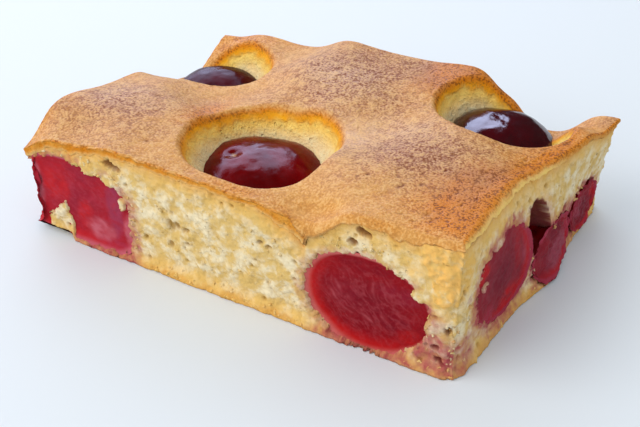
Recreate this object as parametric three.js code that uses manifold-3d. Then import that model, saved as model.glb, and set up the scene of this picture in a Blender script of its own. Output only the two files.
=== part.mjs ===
// A cut slice of cherry sponge traybake: a block of risen sponge with whole cherries sunk into pits
// in its crust, and cherries cut through where the knife went along its sides.
// Millimetres, +Z up. The slice rests on its flat base, and the origin is at the middle of the base.
import * as THREE from 'three';
import { mergeVertices } from 'three/addons/utils/BufferGeometryUtils.js';
import Module from 'manifold-3d';

const wasm = await Module();
wasm.setup();

// Plan corners of the slice, anticlockwise from the front left: where it stands, and at the crust.
const BASE_PLAN = [[-47.8, -29.4], [41.4, -30.3], [48.9, 30.2], [-40.6, 26.8]];
const CRUST_PLAN = [[-49.2, -30.0], [41.8, -29.6], [49.2, 30.6], [-40.6, 27.2]];

// The right side isn't flat: its foot stands out near the middle, and it is drawn in under the crust.
const RIGHT_FOOT = { middle: 7, spread: 8, out: 1.9 };
const RIGHT_SHOULDER = { middle: -5, spread: 15, out: -2.4, power: 3 };

// The crust between the cherries rose in swells. Each is a place, its height and how far it reaches.
const SWELLS = {
  leftCorner: { at: [-51, -31], height: 17.5, reach: 3.6 },
  leftDome: { at: [-36, -17], height: 25.6, reach: 9 },
  leftFront: { at: [-40, -30], height: 22.6, reach: 5 },
  leftSide: { at: [-45, -4], height: 21.6, reach: 6 },
  leftNotch: { at: [-43, 11], height: 14.5, reach: 4.5 },
  leftGap: { at: [-43, 20], height: 11.5, reach: 4 },
  backLeftCorner: { at: [-38, 27], height: 17.0, reach: 5 },
  backLeftRise: { at: [-24, 25], height: 21.2, reach: 6 },
  leftRidge: { at: [-25, 3], height: 20.4, reach: 6 },
  frontStrip: { at: [-16, -30], height: 24.9, reach: 9 },
  frontMiddle: { at: [3, -30], height: 24.2, reach: 6 },
  flapNotch: { at: [11, -31], height: 22.6, reach: 3 },
  crossing: { at: [10, -1], height: 24.2, reach: 6 },
  frontDome: { at: [28, -11], height: 28.2, reach: 11 },
  frontCorner: { at: [42, -30], height: 27.0, reach: 6 },
  backDome: { at: [2, 15], height: 25.8, reach: 9 },
  backMiddle: { at: [4, 29], height: 23.8, reach: 6 },
  backEdge: { at: [19, 29], height: 25.8, reach: 5 },
  backDip: { at: [35, 31], height: 17.6, reach: 4.5 },
  rightSide: { at: [46, 8], height: 25.0, reach: 7 },
  backRightCorner: { at: [49, 30], height: 21.8, reach: 5 },
};

// Each pit is a bowl round a whole cherry: its middle, its radii at the rim and the height there,
// and the height of its floor. Its wall climbs by a power of the distance from the middle.
const PITS = [
  { at: [-6.9, -12.8], radii: [15.0, 13.8], rim: 24.0, floor: 13.6 },
  { at: [30.4, 17.1], radii: [12.8, 11.8], rim: 23.0, floor: 13.8 },
  { at: [-32.4, 14.2], radii: [11.4, 9.6], rim: 21.0, floor: 12.5 },
];
const PIT_POWER = 4.6;

// The bowl that cuts a pit goes past its rim. Its rings lie closer together near the rim.
const PIT_REACH = 1.16;
const PIT_RINGS = 7;
const PIT_RING_POWER = 0.6;
const PIT_SEGMENTS = 28;

// Cherries: middle, half sizes, turn about +Z in degrees, and how boxy each was pressed (2 is round).
const CHERRIES = {
  cherry_centre: { at: [-7.9, -10.6, 10.8], half: [13.8, 11.9, 9.2], turn: 18, power: 2 },
  cherry_back_left: { at: [-31.6, 13.8, 9.0], half: [11.8, 10.6, 8.2], turn: -8, power: 2 },
  cherry_right_back: { at: [30.5, 19.2, 11.4], half: [12.5, 11.2, 10.0], turn: 18, power: 2 },
  cherry_front_cut: { at: [24.8, -30.6, 10.9], half: [12.0, 8.8, 9.8], turn: 0, power: 2.1 },
  cherry_left_corner_cut: { at: [-37.6, -26.6, 10.1], half: [13.0, 11.0, 9.3], turn: 0, power: 3.4 },
  cherry_right_cut_large: { at: [42.6, -13.2, 12.1], half: [8.6, 10.4, 9.5], turn: 0, power: 2.2 },
  cherry_right_cut_torn: { at: [45.6, 6.4, 6.6], half: [6.8, 7.4, 5.7], turn: 0, power: 2.3 },
  cherry_right_cut_low: { at: [48.2, 20.8, 6.0], half: [5.0, 6.5, 5.1], turn: 0, power: 2.2 },
};

// A hole in the crumb of the right side, where juice and air left a hollow above the torn cherry.
const HOLE = { at: [45.6, 1.4, 13.2], half: [4.6, 3.0, 6.2], lean: -24 };

// A tongue of moist crumb hangs from the crust over the front right corner.
const TONGUE = { at: 34.5, halfWidth: 8.0, drop: 10.0, thickness: 1.1 };

const CHERRY_GAP = 0.3;
const CHERRY_SEGMENTS = [18, 10];
const HOLE_SEGMENTS = [12, 8];

// Grid of the sponge: steps along the slice, across it, and the share of the height of each layer.
const STEPS_ALONG = 42;
const STEPS_ACROSS = 27;
const LAYER_SHARES = [0, 0.05, 0.24, 0.44, 0.64, 0.84, 0.95, 1];

// Relief: crumb tufts on the cut sides, the crust's lip over them, and the waviness of the crust.
const CRUMB_RELIEF = { scale: 3.6, height: 0.45 };
const CRUST_LIP = 0.55;
const CRUST_UNDERCUT = -0.35;
const CRUST_WAVE = { scale: 8.5, height: 0.32 };
const NOISE_SEED = 4.7;

const SPONGE_FINISH = { color: 0xe3c67f, roughness: 0.85, metalness: 0 };
const WHOLE_CHERRY_FINISH = { color: 0x4a0d18, roughness: 0.2, metalness: 0 };
const CUT_CHERRY_FINISH = { color: 0xa3182c, roughness: 0.45, metalness: 0 };

/** A steady value between -1 and 1 for a point of a whole-number grid. */
function gridValue(i, j) {
  const [acrossStep, upStep, stretch] = [127.1, 311.7, 43758.5453];
  const wave = Math.sin(i * acrossStep + j * upStep + NOISE_SEED) * stretch;
  return (wave - Math.floor(wave)) * 2 - 1;
}

/** Smooth noise between -1 and 1, with about one bump for each unit of a and b. */
function noise(a, b) {
  const [i, j] = [Math.floor(a), Math.floor(b)];
  const s = THREE.MathUtils.smoothstep(a - i, 0, 1);
  const t = THREE.MathUtils.smoothstep(b - j, 0, 1);
  const low = THREE.MathUtils.lerp(gridValue(i, j), gridValue(i + 1, j), s);
  const high = THREE.MathUtils.lerp(gridValue(i, j + 1), gridValue(i + 1, j + 1), s);
  return THREE.MathUtils.lerp(low, high, t);
}

/** Height of the crust at a place, before the pits: the mean of the swells, by nearness, and waves. */
function crustHeight(x, y) {
  let sum = 0;
  let weights = 0;
  for (const { at, height, reach } of Object.values(SWELLS)) {
    const weight = Math.exp(-((x - at[0]) ** 2 + (y - at[1]) ** 2) / (2 * reach ** 2));
    sum += weight * height;
    weights += weight;
  }
  return sum / weights + CRUST_WAVE.height * noise(x / CRUST_WAVE.scale, y / CRUST_WAVE.scale);
}

/** Plan place at shares u along and v across the slice, at a share of the height. */
function planPoint(u, v, share) {
  const corners = BASE_PLAN.map((base, k) => base.map((value, axis) => (
    THREE.MathUtils.lerp(value, CRUST_PLAN[k][axis], share))));
  return [0, 1].map((axis) => THREE.MathUtils.lerp(
    THREE.MathUtils.lerp(corners[0][axis], corners[1][axis], u),
    THREE.MathUtils.lerp(corners[3][axis], corners[2][axis], u),
    v,
  ));
}

/** How far the right side stands out from its flat plan, at a place across and a share of height. */
function rightBow(y, share) {
  const [foot, shoulder] = [RIGHT_FOOT, RIGHT_SHOULDER].map(({ middle, spread, out }) => (
    out * Math.exp(-(((y - middle) / spread) ** 2))));
  return foot * (1 - share) + shoulder * share ** RIGHT_SHOULDER.power;
}

/** How far the tongue of crumb stands out on the front side. */
function tongueRelief(x, depth) {
  const across = Math.abs(x - TONGUE.at) / TONGUE.halfWidth;
  return across + depth / TONGUE.drop < 1 ? TONGUE.thickness : 0;
}

/** How far a cut side stands out at a place along it, from its crumb and from the crust's lip. */
function sideRelief(along, layer) {
  const last = LAYER_SHARES.length - 1;
  if (layer === 0) return 0;
  if (layer === last) return CRUST_LIP * (1 + noise(along, layer)) / 2;
  const tufts = CRUMB_RELIEF.height * noise(along / CRUMB_RELIEF.scale, layer);
  return layer === last - 1 ? tufts + CRUST_UNDERCUT : tufts;
}

/** Where a point of the unit block goes on the slice. Its sides are where u or v is 0 or 1. */
function spongePoint(u, v, layer) {
  const share = LAYER_SHARES[layer];
  const inside = u > 0 && u < 1 && v > 0 && v < 1;
  if (layer === 0 && inside) return [0, 0, 0];
  let [x, y] = planPoint(u, v, share);
  const depth = crustHeight(x, y) * (1 - share);
  if (u === 1) x += rightBow(y, share) + sideRelief(y, layer);
  if (u === 0) x -= sideRelief(y, layer);
  if (v === 0) y -= sideRelief(x, layer) + tongueRelief(x, depth);
  if (v === 1) y += sideRelief(x, layer);
  return [x, y, share * crustHeight(x, y)];
}

/** The whole block of sponge before the cherries' pockets. */
function spongeBlock() {
  const layers = LAYER_SHARES.length - 1;
  const block = new THREE.BoxGeometry(1, 1, 1, STEPS_ALONG, STEPS_ACROSS, layers);
  const points = block.attributes.position;
  for (let k = 0; k < points.count; k += 1) {
    const u = Math.round((points.getX(k) + 0.5) * STEPS_ALONG) / STEPS_ALONG;
    const v = Math.round((points.getY(k) + 0.5) * STEPS_ACROSS) / STEPS_ACROSS;
    const layer = Math.round((points.getZ(k) + 0.5) * layers);
    points.setXYZ(k, ...spongePoint(u, v, layer));
  }
  return block;
}

/** The slice's straight-sided outline as a block, taller than the cherries, to cut them flat. */
function knifeBlock() {
  const block = new THREE.BoxGeometry(1, 1, 1, 1, 1, 1);
  const points = block.attributes.position;
  for (let k = 0; k < points.count; k += 1) {
    const [u, v, share] = [points.getX(k) + 0.5, points.getY(k) + 0.5, points.getZ(k) + 0.5];
    const height = share * Math.max(...Object.values(SWELLS).map((swell) => swell.height));
    points.setXYZ(k, ...planPoint(u, v, share), height);
  }
  return block;
}

/** A pressed ball: round at power 2 and boxier above it, grown by a margin all over. */
function pressedBall({ at, half, turn, power }, margin, segments) {
  const ball = new THREE.SphereGeometry(1, ...segments);
  ball.rotateX(Math.PI / 2);
  const points = ball.attributes.position;
  for (let k = 0; k < points.count; k += 1) {
    const direction = [points.getX(k), points.getY(k), points.getZ(k)];
    const size = direction.reduce((sum, value) => sum + Math.abs(value) ** power, 0) ** (1 / power);
    points.setXYZ(k, ...direction.map((value, axis) => (value / size) * (half[axis] + margin)));
  }
  ball.rotateZ(THREE.MathUtils.degToRad(turn));
  ball.translate(...at);
  return ball;
}

/** A closed geometry as a solid that can be joined and cut, without its folded-up triangles. */
function toSolid(geometry) {
  const bare = geometry.clone();
  bare.deleteAttribute('normal');
  bare.deleteAttribute('uv');
  const merged = mergeVertices(bare);
  const corners = merged.index.array;
  const kept = [];
  for (let k = 0; k < corners.length; k += 3) {
    const [a, b, c] = corners.slice(k, k + 3);
    if (a !== b && b !== c && c !== a) kept.push(a, b, c);
  }
  return new wasm.Manifold(new wasm.Mesh({
    numProp: 3,
    vertProperties: Float32Array.from(merged.attributes.position.array),
    triVerts: Uint32Array.from(kept),
  }));
}

/** A solid as a named mesh with a finish. */
function toMesh(name, solid, finish) {
  const { vertProperties, triVerts } = solid.getMesh();
  const geometry = new THREE.BufferGeometry();
  geometry.setAttribute('position', new THREE.BufferAttribute(vertProperties, 3));
  geometry.setIndex(new THREE.BufferAttribute(triVerts, 1));
  geometry.computeVertexNormals();
  const mesh = new THREE.Mesh(geometry, new THREE.MeshStandardMaterial(finish));
  mesh.name = name;
  return mesh;
}

/** The space of a pit: a bowl turned about its middle, carried up past the crust. */
function pitSolid({ at, radii, rim, floor }) {
  const profile = [];
  for (let k = 0; k <= PIT_RINGS; k += 1) {
    const reach = PIT_REACH * (k / PIT_RINGS) ** PIT_RING_POWER;
    profile.push(new THREE.Vector2(reach, floor + (rim - floor) * reach ** PIT_POWER));
  }
  profile.push(new THREE.Vector2(0, profile[PIT_RINGS].y));
  const bowl = new THREE.LatheGeometry(profile, PIT_SEGMENTS);
  bowl.rotateX(Math.PI / 2);
  bowl.scale(radii[0], radii[1], 1);
  bowl.translate(at[0], at[1], 0);
  return toSolid(bowl);
}

/** The hole of the right side as a leaning solid. */
function holeSolid() {
  const ball = pressedBall({ at: [0, 0, 0], half: HOLE.half, turn: 0, power: 2 }, 0, HOLE_SEGMENTS);
  ball.rotateX(THREE.MathUtils.degToRad(HOLE.lean));
  ball.translate(...HOLE.at);
  return toSolid(ball);
}

/** The sponge with its pits, a pocket for each cherry and the hole. */
function buildSponge(hole) {
  const pockets = Object.values(CHERRIES).map((cherry) => (
    toSolid(pressedBall(cherry, CHERRY_GAP, CHERRY_SEGMENTS))));
  const spaces = [...PITS.map(pitSolid), ...pockets, hole];
  const solid = spaces.reduce((rest, space) => rest.subtract(space), toSolid(spongeBlock()));
  return toMesh('sponge', solid, SPONGE_FINISH);
}

/** One cherry, cut flat where it meets a side of the slice. */
function buildCherry([name, cherry], knife, hole) {
  const solid = toSolid(pressedBall(cherry, 0, CHERRY_SEGMENTS)).intersect(knife).subtract(hole);
  return toMesh(name, solid, name.includes('_cut') ? CUT_CHERRY_FINISH : WHOLE_CHERRY_FINISH);
}

const hole = holeSolid();
const knife = toSolid(knifeBlock());
const slice = new THREE.Group();
slice.add(buildSponge(hole));
for (const entry of Object.entries(CHERRIES)) slice.add(buildCherry(entry, knife, hole));

export default slice;
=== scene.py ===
"""A cut slice of cherry sponge traybake: its crumb, crust and fruit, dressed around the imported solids.

Shapes are worked out in millimetres in the frame of the solids, and each finished mesh is scaled to metres.
"""

import logging
import math
import random
from bisect import bisect_right
from collections.abc import Callable, Iterable, Sequence
from dataclasses import dataclass
from enum import Enum
from typing import ClassVar

import bmesh
import bpy
from mathutils import Matrix, Vector, noise


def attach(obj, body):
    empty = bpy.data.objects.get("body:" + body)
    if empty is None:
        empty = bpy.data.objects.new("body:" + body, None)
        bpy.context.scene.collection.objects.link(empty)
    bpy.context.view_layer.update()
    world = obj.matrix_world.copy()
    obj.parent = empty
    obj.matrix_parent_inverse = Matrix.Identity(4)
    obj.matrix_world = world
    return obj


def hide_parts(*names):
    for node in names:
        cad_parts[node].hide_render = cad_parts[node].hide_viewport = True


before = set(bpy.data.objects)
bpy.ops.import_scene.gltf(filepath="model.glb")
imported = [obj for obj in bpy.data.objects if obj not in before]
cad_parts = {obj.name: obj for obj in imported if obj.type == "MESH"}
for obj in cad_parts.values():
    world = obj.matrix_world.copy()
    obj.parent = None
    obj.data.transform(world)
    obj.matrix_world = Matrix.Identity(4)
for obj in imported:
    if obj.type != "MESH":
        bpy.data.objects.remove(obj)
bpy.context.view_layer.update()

LOG = logging.getLogger("cherry_slice")
BODY = "root"
SPONGE_NODE = "sponge"
SEED = 20
MM = 0.001
WELD = 1e-5

# About how long and how wide the slice is, in millimetres.
LENGTH, WIDTH = 91.0, 60.0

# How ragged the rim of a cleanly cut cherry is, and above what a cherry counts as torn.
CLEAN_RIM = 0.035
TORN_ABOVE = 0.2

Pair = tuple[float, float]
Triple = tuple[float, float, float]
Knots = tuple[Pair, ...]


class Side(Enum):
    """A cut side of the slice, numbered by the plan corner where it starts, anticlockwise."""

    FRONT = 0
    RIGHT = 1
    BACK = 2
    LEFT = 3


class Level(float, Enum):
    """Unit heights that mark the hidden lids of a body while it is still a unit block."""

    BASE_LID = -1.0
    TOP_LID = 2.0


class Plane(float, Enum):
    """Heights at which flat random relief is read, one for each use, so that no two are alike."""

    EDGE = 3.0
    CREASE = 4.0
    BROWN = 5.0
    EDGE_WIDE = 9.0
    ORANGE = 25.0
    SHEEN = 45.0


def smooth(low: float, high: float, value: float) -> float:
    """Eases from 0 at low to 1 at high.

    Args:
        low: The value that gives 0. It may be above high.
        high: The value that gives 1.
        value: The value to place between them.

    Returns:
        A share between 0 and 1.
    """
    share = min(max((value - low) / (high - low), 0.0), 1.0)
    return share * share * (3.0 - 2.0 * share)


def blend(first: float, second: float, share: float) -> float:
    """Returns the value at a share of the way from first to second."""
    return first + (second - first) * share


def soft_min(first: float, second: float, reach: float) -> float:
    """Takes the lower of two heights, rounded where they meet.

    Args:
        first: One height.
        second: The other height.
        reach: How far apart the heights still blend.

    Returns:
        The rounded minimum.
    """
    share = max(reach - abs(first - second), 0.0) / reach
    return min(first, second) - share * share * reach / 4.0


def bumps(point: Vector, scale: float, octaves: int = 3) -> float:
    """Returns soft random relief between about -1 and 1, with bumps about scale apart."""
    return noise.fractal(point / scale, 1.0, 2.0, octaves)


@dataclass(frozen=True)
class Ease:
    """A range over which a value eases from 0 at low to a strength at high. Low may be the larger."""

    low: float
    high: float
    strength: float = 1.0

    def at(self, value: float) -> float:
        """Returns the eased strength at a value."""
        return self.strength * smooth(self.low, self.high, value)


@dataclass(frozen=True)
class Relief:
    """Soft random relief: how far apart and how strong its bumps are, how fine, and its middle value."""

    scale: float
    height: float = 1.0
    octaves: int = 3
    middle: float = 0.0

    def at(self, point: Vector) -> float:
        """Returns the relief at a point, up to about its height from its middle."""
        return self.middle + self.height * bumps(point, self.scale, self.octaves)


def cell_chance(middle: Vector, key: float) -> float:
    """Returns a steady random share from 0 to 1 for a cell, a different one for each key."""
    return 0.5 + 0.5 * noise.cell(middle * key)


def along_knots(knots: Knots, place: float) -> float:
    """Reads a value off a line through a few knots.

    Args:
        knots: Pairs of place and value, in the order of their places.
        place: Where to read.

    Returns:
        The value there, held flat past both ends.
    """
    index = bisect_right([knot[0] for knot in knots], place)
    if index in (0, len(knots)):
        return knots[min(index, len(knots) - 1)][1]
    (low, first), (high, second) = knots[index - 1], knots[index]
    return blend(first, second, (place - low) / (high - low))


@dataclass(frozen=True)
class Swell:
    """A place where the crust rose: its height and how far it reaches."""

    at: Pair
    height: float
    reach: float


@dataclass(frozen=True)
class Patch:
    """A soft patch of colour on the crust, seen from above."""

    at: Pair
    half: Pair
    strength: float

    def share(self, x: float, y: float) -> float:
        """Returns the patch's strength at a place, fading out softly."""
        across, along = (x - self.at[0]) / self.half[0], (y - self.at[1]) / self.half[1]
        return self.strength * math.exp(-across * across - along * along)


def path_gap(path: Sequence[Pair], place: Vector) -> float:
    """Returns the distance from a place to a path through a few points."""
    gaps = []
    for start, end in zip(path, path[1:]):
        first, run = Vector(start), Vector(end) - Vector(start)
        share = min(max((place - first).dot(run) / run.length_squared, 0.0), 1.0)
        gaps.append((place - first - run * share).length)
    return min(gaps)


def patches_at(patches: Iterable[Patch], x: float, y: float) -> float:
    """Returns the strength of several patches together at a place."""
    return sum(patch.share(x, y) for patch in patches)


@dataclass(frozen=True)
class Pit:
    """A bowl in the crust round a whole cherry."""

    at: Pair
    radii: Pair
    rim: float
    floor: float
    power: float = 2.0

    def reach(self, x: float, y: float) -> float:
        """Returns the distance from the middle, where the rim is at 1."""
        across, along = abs(x - self.at[0]) / self.radii[0], abs(y - self.at[1]) / self.radii[1]
        return (across ** self.power + along ** self.power) ** (1.0 / self.power)


@dataclass(frozen=True)
class Bow:
    """How far a side stands out, most at a middle and less to either side of it."""

    middle: float
    spread: float
    out: float

    def at(self, place: float) -> float:
        """Returns how far the side stands out at a place along it."""
        return self.out * math.exp(-(((place - self.middle) / self.spread) ** 2))


@dataclass(frozen=True)
class CakeShape:
    """The slice's large form: its plan, the swells of its crust and the pits round its cherries."""

    base_plan: tuple[Pair, ...] = ((-47.8, -29.4), (41.8, -30.3), (46.8, 30.2), (-40, 26.8))
    crust_plan: tuple[Pair, ...] = ((-49.2, -30), (41.8, -29.6), (49.2, 30.6), (-39.6, 27.2))
    foot: Bow = Bow(4.0, 7.5, 1.9)
    shoulder: Bow = Bow(-5.0, 15.0, -2.4)
    shoulder_power: int = 3
    shoulder_reach: float = 0.12
    pit_power: float = 4.6
    pit_followed: float = 1.5
    rim_roll: float = 3.4
    wave_scale: float = 8.5
    wave_height: float = 0.32
    lip: Pair = (1.05, 3.4)
    chip_at: Pair = (-49.5, -31.0)
    chip_reach: Pair = (10.6, 14.0)
    chip_height: float = 1.5
    chip_edge: Ease = Ease(1.0, 0.84)
    chip_wave: Pair = (2.0, 0.08)
    swells: tuple[Swell, ...] = (
        Swell((-51, -31), 17.5, 3.6), Swell((-36, -17), 25.6, 9), Swell((-40, -30), 22.6, 5),
        Swell((-45, -4), 21.6, 6), Swell((-43, 11), 14.5, 4.5), Swell((-43, 20), 11.5, 4),
        Swell((-38, 27), 18.4, 5), Swell((-24, 25), 21.2, 6), Swell((-25, 3), 20.4, 6),
        Swell((-16, -30), 24.9, 9), Swell((3, -30), 24.2, 6), Swell((11, -31), 22.6, 3),
        Swell((10, -1), 24.2, 6), Swell((28, -11), 28.2, 11), Swell((42, -30), 28.8, 5),
        Swell((2, 15), 25.8, 9), Swell((4, 29), 23.8, 6), Swell((19, 29), 25.8, 5),
        Swell((26, 31), 20, 2.6), Swell((35, 31), 15, 4.5), Swell((46, 8), 25, 7),
        Swell((49, 30), 21.8, 5), Swell((-9, 2), 23.2, 3.6), Swell((-18, -4), 23.2, 3.4),
        Swell((-40, 27.5), 20.6, 3.2), Swell((-29, 26.5), 21.4, 3.4), Swell((-21, 27), 20.7, 2.6),
        Swell((-42, 23.5), 16.5, 2.2),
    )
    pits: tuple[Pit, ...] = (
        Pit((-5.9, -12.8), (14, 13.6), 24, 13.6, 2.5),
        Pit((30.4, 17.1), (12.8, 11.8), 23, 13.8),
        Pit((-32.4, 14.2), (11.4, 9.6), 21, 12.5),
    )

    def crust_height(self, x: float, y: float) -> float:
        """Mixes the swells by nearness.

        Args:
            x: Place along the slice.
            y: Place across it.

        Returns:
            The crust's height before its pits.
        """
        height = total = 0.0
        for swell in self.swells:
            far = (x - swell.at[0]) ** 2 + (y - swell.at[1]) ** 2
            weight = math.exp(-far / (2.0 * swell.reach ** 2))
            height += weight * swell.height
            total += weight
        return height / total + self.wave_height * noise.noise(Vector((x, y, 0.0)) / self.wave_scale)

    def pit_height(self, x: float, y: float) -> float:
        """Returns the height of the nearest pit's bowl at a place, far up where there is none."""
        return min(
            pit.floor + (pit.rim - pit.floor) * min(pit.reach(x, y), self.pit_followed) ** self.pit_power
            for pit in self.pits
        )

    def top(self, x: float, y: float) -> float:
        """Returns the height of the open surface at a place, with the pits' rims rolled over."""
        return soft_min(self.crust_height(x, y), self.pit_height(x, y), self.rim_roll)

    def plan(self, u: float, v: float, share: float) -> Pair:
        """Finds a plan place.

        Args:
            u: Share of the way along the slice.
            v: Share of the way across it.
            share: Share of the way up.

        Returns:
            The place's x and y.
        """
        corners = [
            (blend(base[0], crust[0], share), blend(base[1], crust[1], share))
            for base, crust in zip(self.base_plan, self.crust_plan)
        ]
        return tuple(
            blend(
                blend(corners[0][axis], corners[1][axis], u),
                blend(corners[3][axis], corners[2][axis], u),
                v,
            )
            for axis in (0, 1)
        )

    def bow(self, y: float, share: float) -> float:
        """Returns how far the right side stands out at a place across and a share of the way up."""
        return self.foot.at(y) * (1.0 - share) + self.shoulder.at(y) * share ** self.shoulder_power

    def bowed_plan(self, u: float, v: float, share: float) -> Pair:
        """Finds a plan place with the right side's bow eased in near that side."""
        x, y = self.plan(u, v, share)
        return x + self.bow(y, share) * smooth(1.0 - self.shoulder_reach, 1.0, u), y

    def lip_out(self, height: float) -> float:
        """Returns how far the foot of the sides flares out at a height."""
        return self.lip[0] * smooth(self.lip[1], 0.0, height)

    def underside(self, x: float, y: float) -> float:
        """Returns the height of the base, which is chipped at one corner."""
        across, along = (x - self.chip_at[0]) / self.chip_reach[0], (y - self.chip_at[1]) / self.chip_reach[1]
        wave = self.chip_wave[1] * noise.noise(Vector((x, y, 0.0)) / self.chip_wave[0])
        return self.chip_height * self.chip_edge.at(math.hypot(across, along) + wave)

    def normal(self, side: Side) -> Vector:
        """Returns the outward direction of a side."""
        start, end = (self.crust_plan[(side.value + step) % 4] for step in (0, 1))
        return Vector((end[1] - start[1], start[0] - end[0], 0.0)).normalized()

    def beyond(self, side: Side, point: Vector) -> float:
        """Measures how far a point lies outside a side, below zero inside.

        Args:
            side: The side.
            point: The point.

        Returns:
            The distance in millimetres.
        """
        share = min(max(point.z / self.crust_height(point.x, point.y), 0.0), 1.0)
        base, crust = self.base_plan[side.value], self.crust_plan[side.value]
        corner = Vector((blend(base[0], crust[0], share), blend(base[1], crust[1], share), point.z))
        bow = self.bow(point.y, share) if side is Side.RIGHT else 0.0
        return (point - corner).dot(self.normal(side)) - bow - self.lip_out(point.z)


@dataclass(frozen=True)
class Fruit:
    """One cherry of the slice.

    A pressed ball, round at power 2 and boxier above it, that may be cut by sides of the slice.
    """

    node: str
    at: Triple
    half: Triple
    turn: float = 0.0
    power: float = 2.0
    low_power: float = 0.0
    low_from: Ease = Ease(0.0, -0.5)
    cut_by: tuple[Side, ...] = ()
    bleed: float = 0.0
    lean: float = 0.0
    tilt: float = 0.0
    ragged: float = CLEAN_RIM
    recess: float = 0.15
    sag: float = 0.0
    sag_from: Ease = Ease(0.0, 0.6)
    blotches: tuple["Blotch", ...] = ()
    veins: tuple[tuple[Pair, ...], ...] = ()

    def roundness(self, rise: float) -> float:
        """Returns the power at a height from -1 to 1, which may be boxier low down."""
        return blend(self.power, self.low_power or self.power, self.low_from.at(rise))

    def inside(self, point: Vector) -> float:
        """Measures a point against the ball.

        Args:
            point: The point.

        Returns:
            0 at the middle and 1 on the skin.
        """
        off = point - Vector(self.at)
        off.x -= self.lean * off.z
        off.y -= self.tilt * off.z
        turned = Matrix.Rotation(-math.radians(self.turn), 3, "Z") @ off
        power = self.roundness(off.z / self.half[2])
        return sum(abs(value / half) ** power for value, half in zip(turned, self.half)) ** (1.0 / power)

    def skin_point(self, direction: Vector) -> Vector:
        """Returns the point of the skin in a direction from the middle."""
        power = self.roundness(direction.z)
        size = sum(abs(value) ** power for value in direction) ** (1.0 / power)
        pressed = Vector(value / size * half for value, half in zip(direction, self.half))
        turned = Matrix.Rotation(math.radians(self.turn), 3, "Z") @ pressed
        turned.x += self.lean * turned.z
        turned.y += self.tilt * turned.z
        turned.z -= self.sag * max(turned.x, 0.0) * self.sag_from.at(direction.z)
        return turned + Vector(self.at)


@dataclass(frozen=True)
class Spot:
    """A blotch of colour on a side, at a place along it and a height."""

    fade: ClassVar[Ease] = Ease(1.25, 0.55)

    side: Side
    along: float
    height: float
    half: Pair
    strength: float

    def share(self, along: float, height: float) -> float:
        """Returns the blotch's strength at a place, fading out to its edge."""
        far = math.hypot((along - self.along) / self.half[0], (height - self.height) / self.half[1])
        return self.strength * self.fade.at(far)


@dataclass(frozen=True)
class Blotch(Spot):
    """A spot on one of the masks of a cut cherry's face."""

    mask: str


def spots_on(side: Side, *rows: tuple[float, float, Pair, float]) -> tuple[Spot, ...]:
    """Returns spots on one side, from rows of place, height, half sizes and strength."""
    return tuple(Spot(side, *row) for row in rows)


def blotches_on(side: Side, **masks: Sequence[tuple[float, float, Pair, float]]) -> tuple[Blotch, ...]:
    """Returns blotches on one side, from the same rows for each mask."""
    return tuple(Blotch(side, *row, mask) for mask, rows in masks.items() for row in rows)


def spots_at(spots: Iterable[Spot], side: Side, along: float, height: float) -> float:
    """Returns the strength of several spots together at a place on a side."""
    return sum(spot.share(along, height) for spot in spots if spot.side is side)


CAKE = CakeShape()

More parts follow.
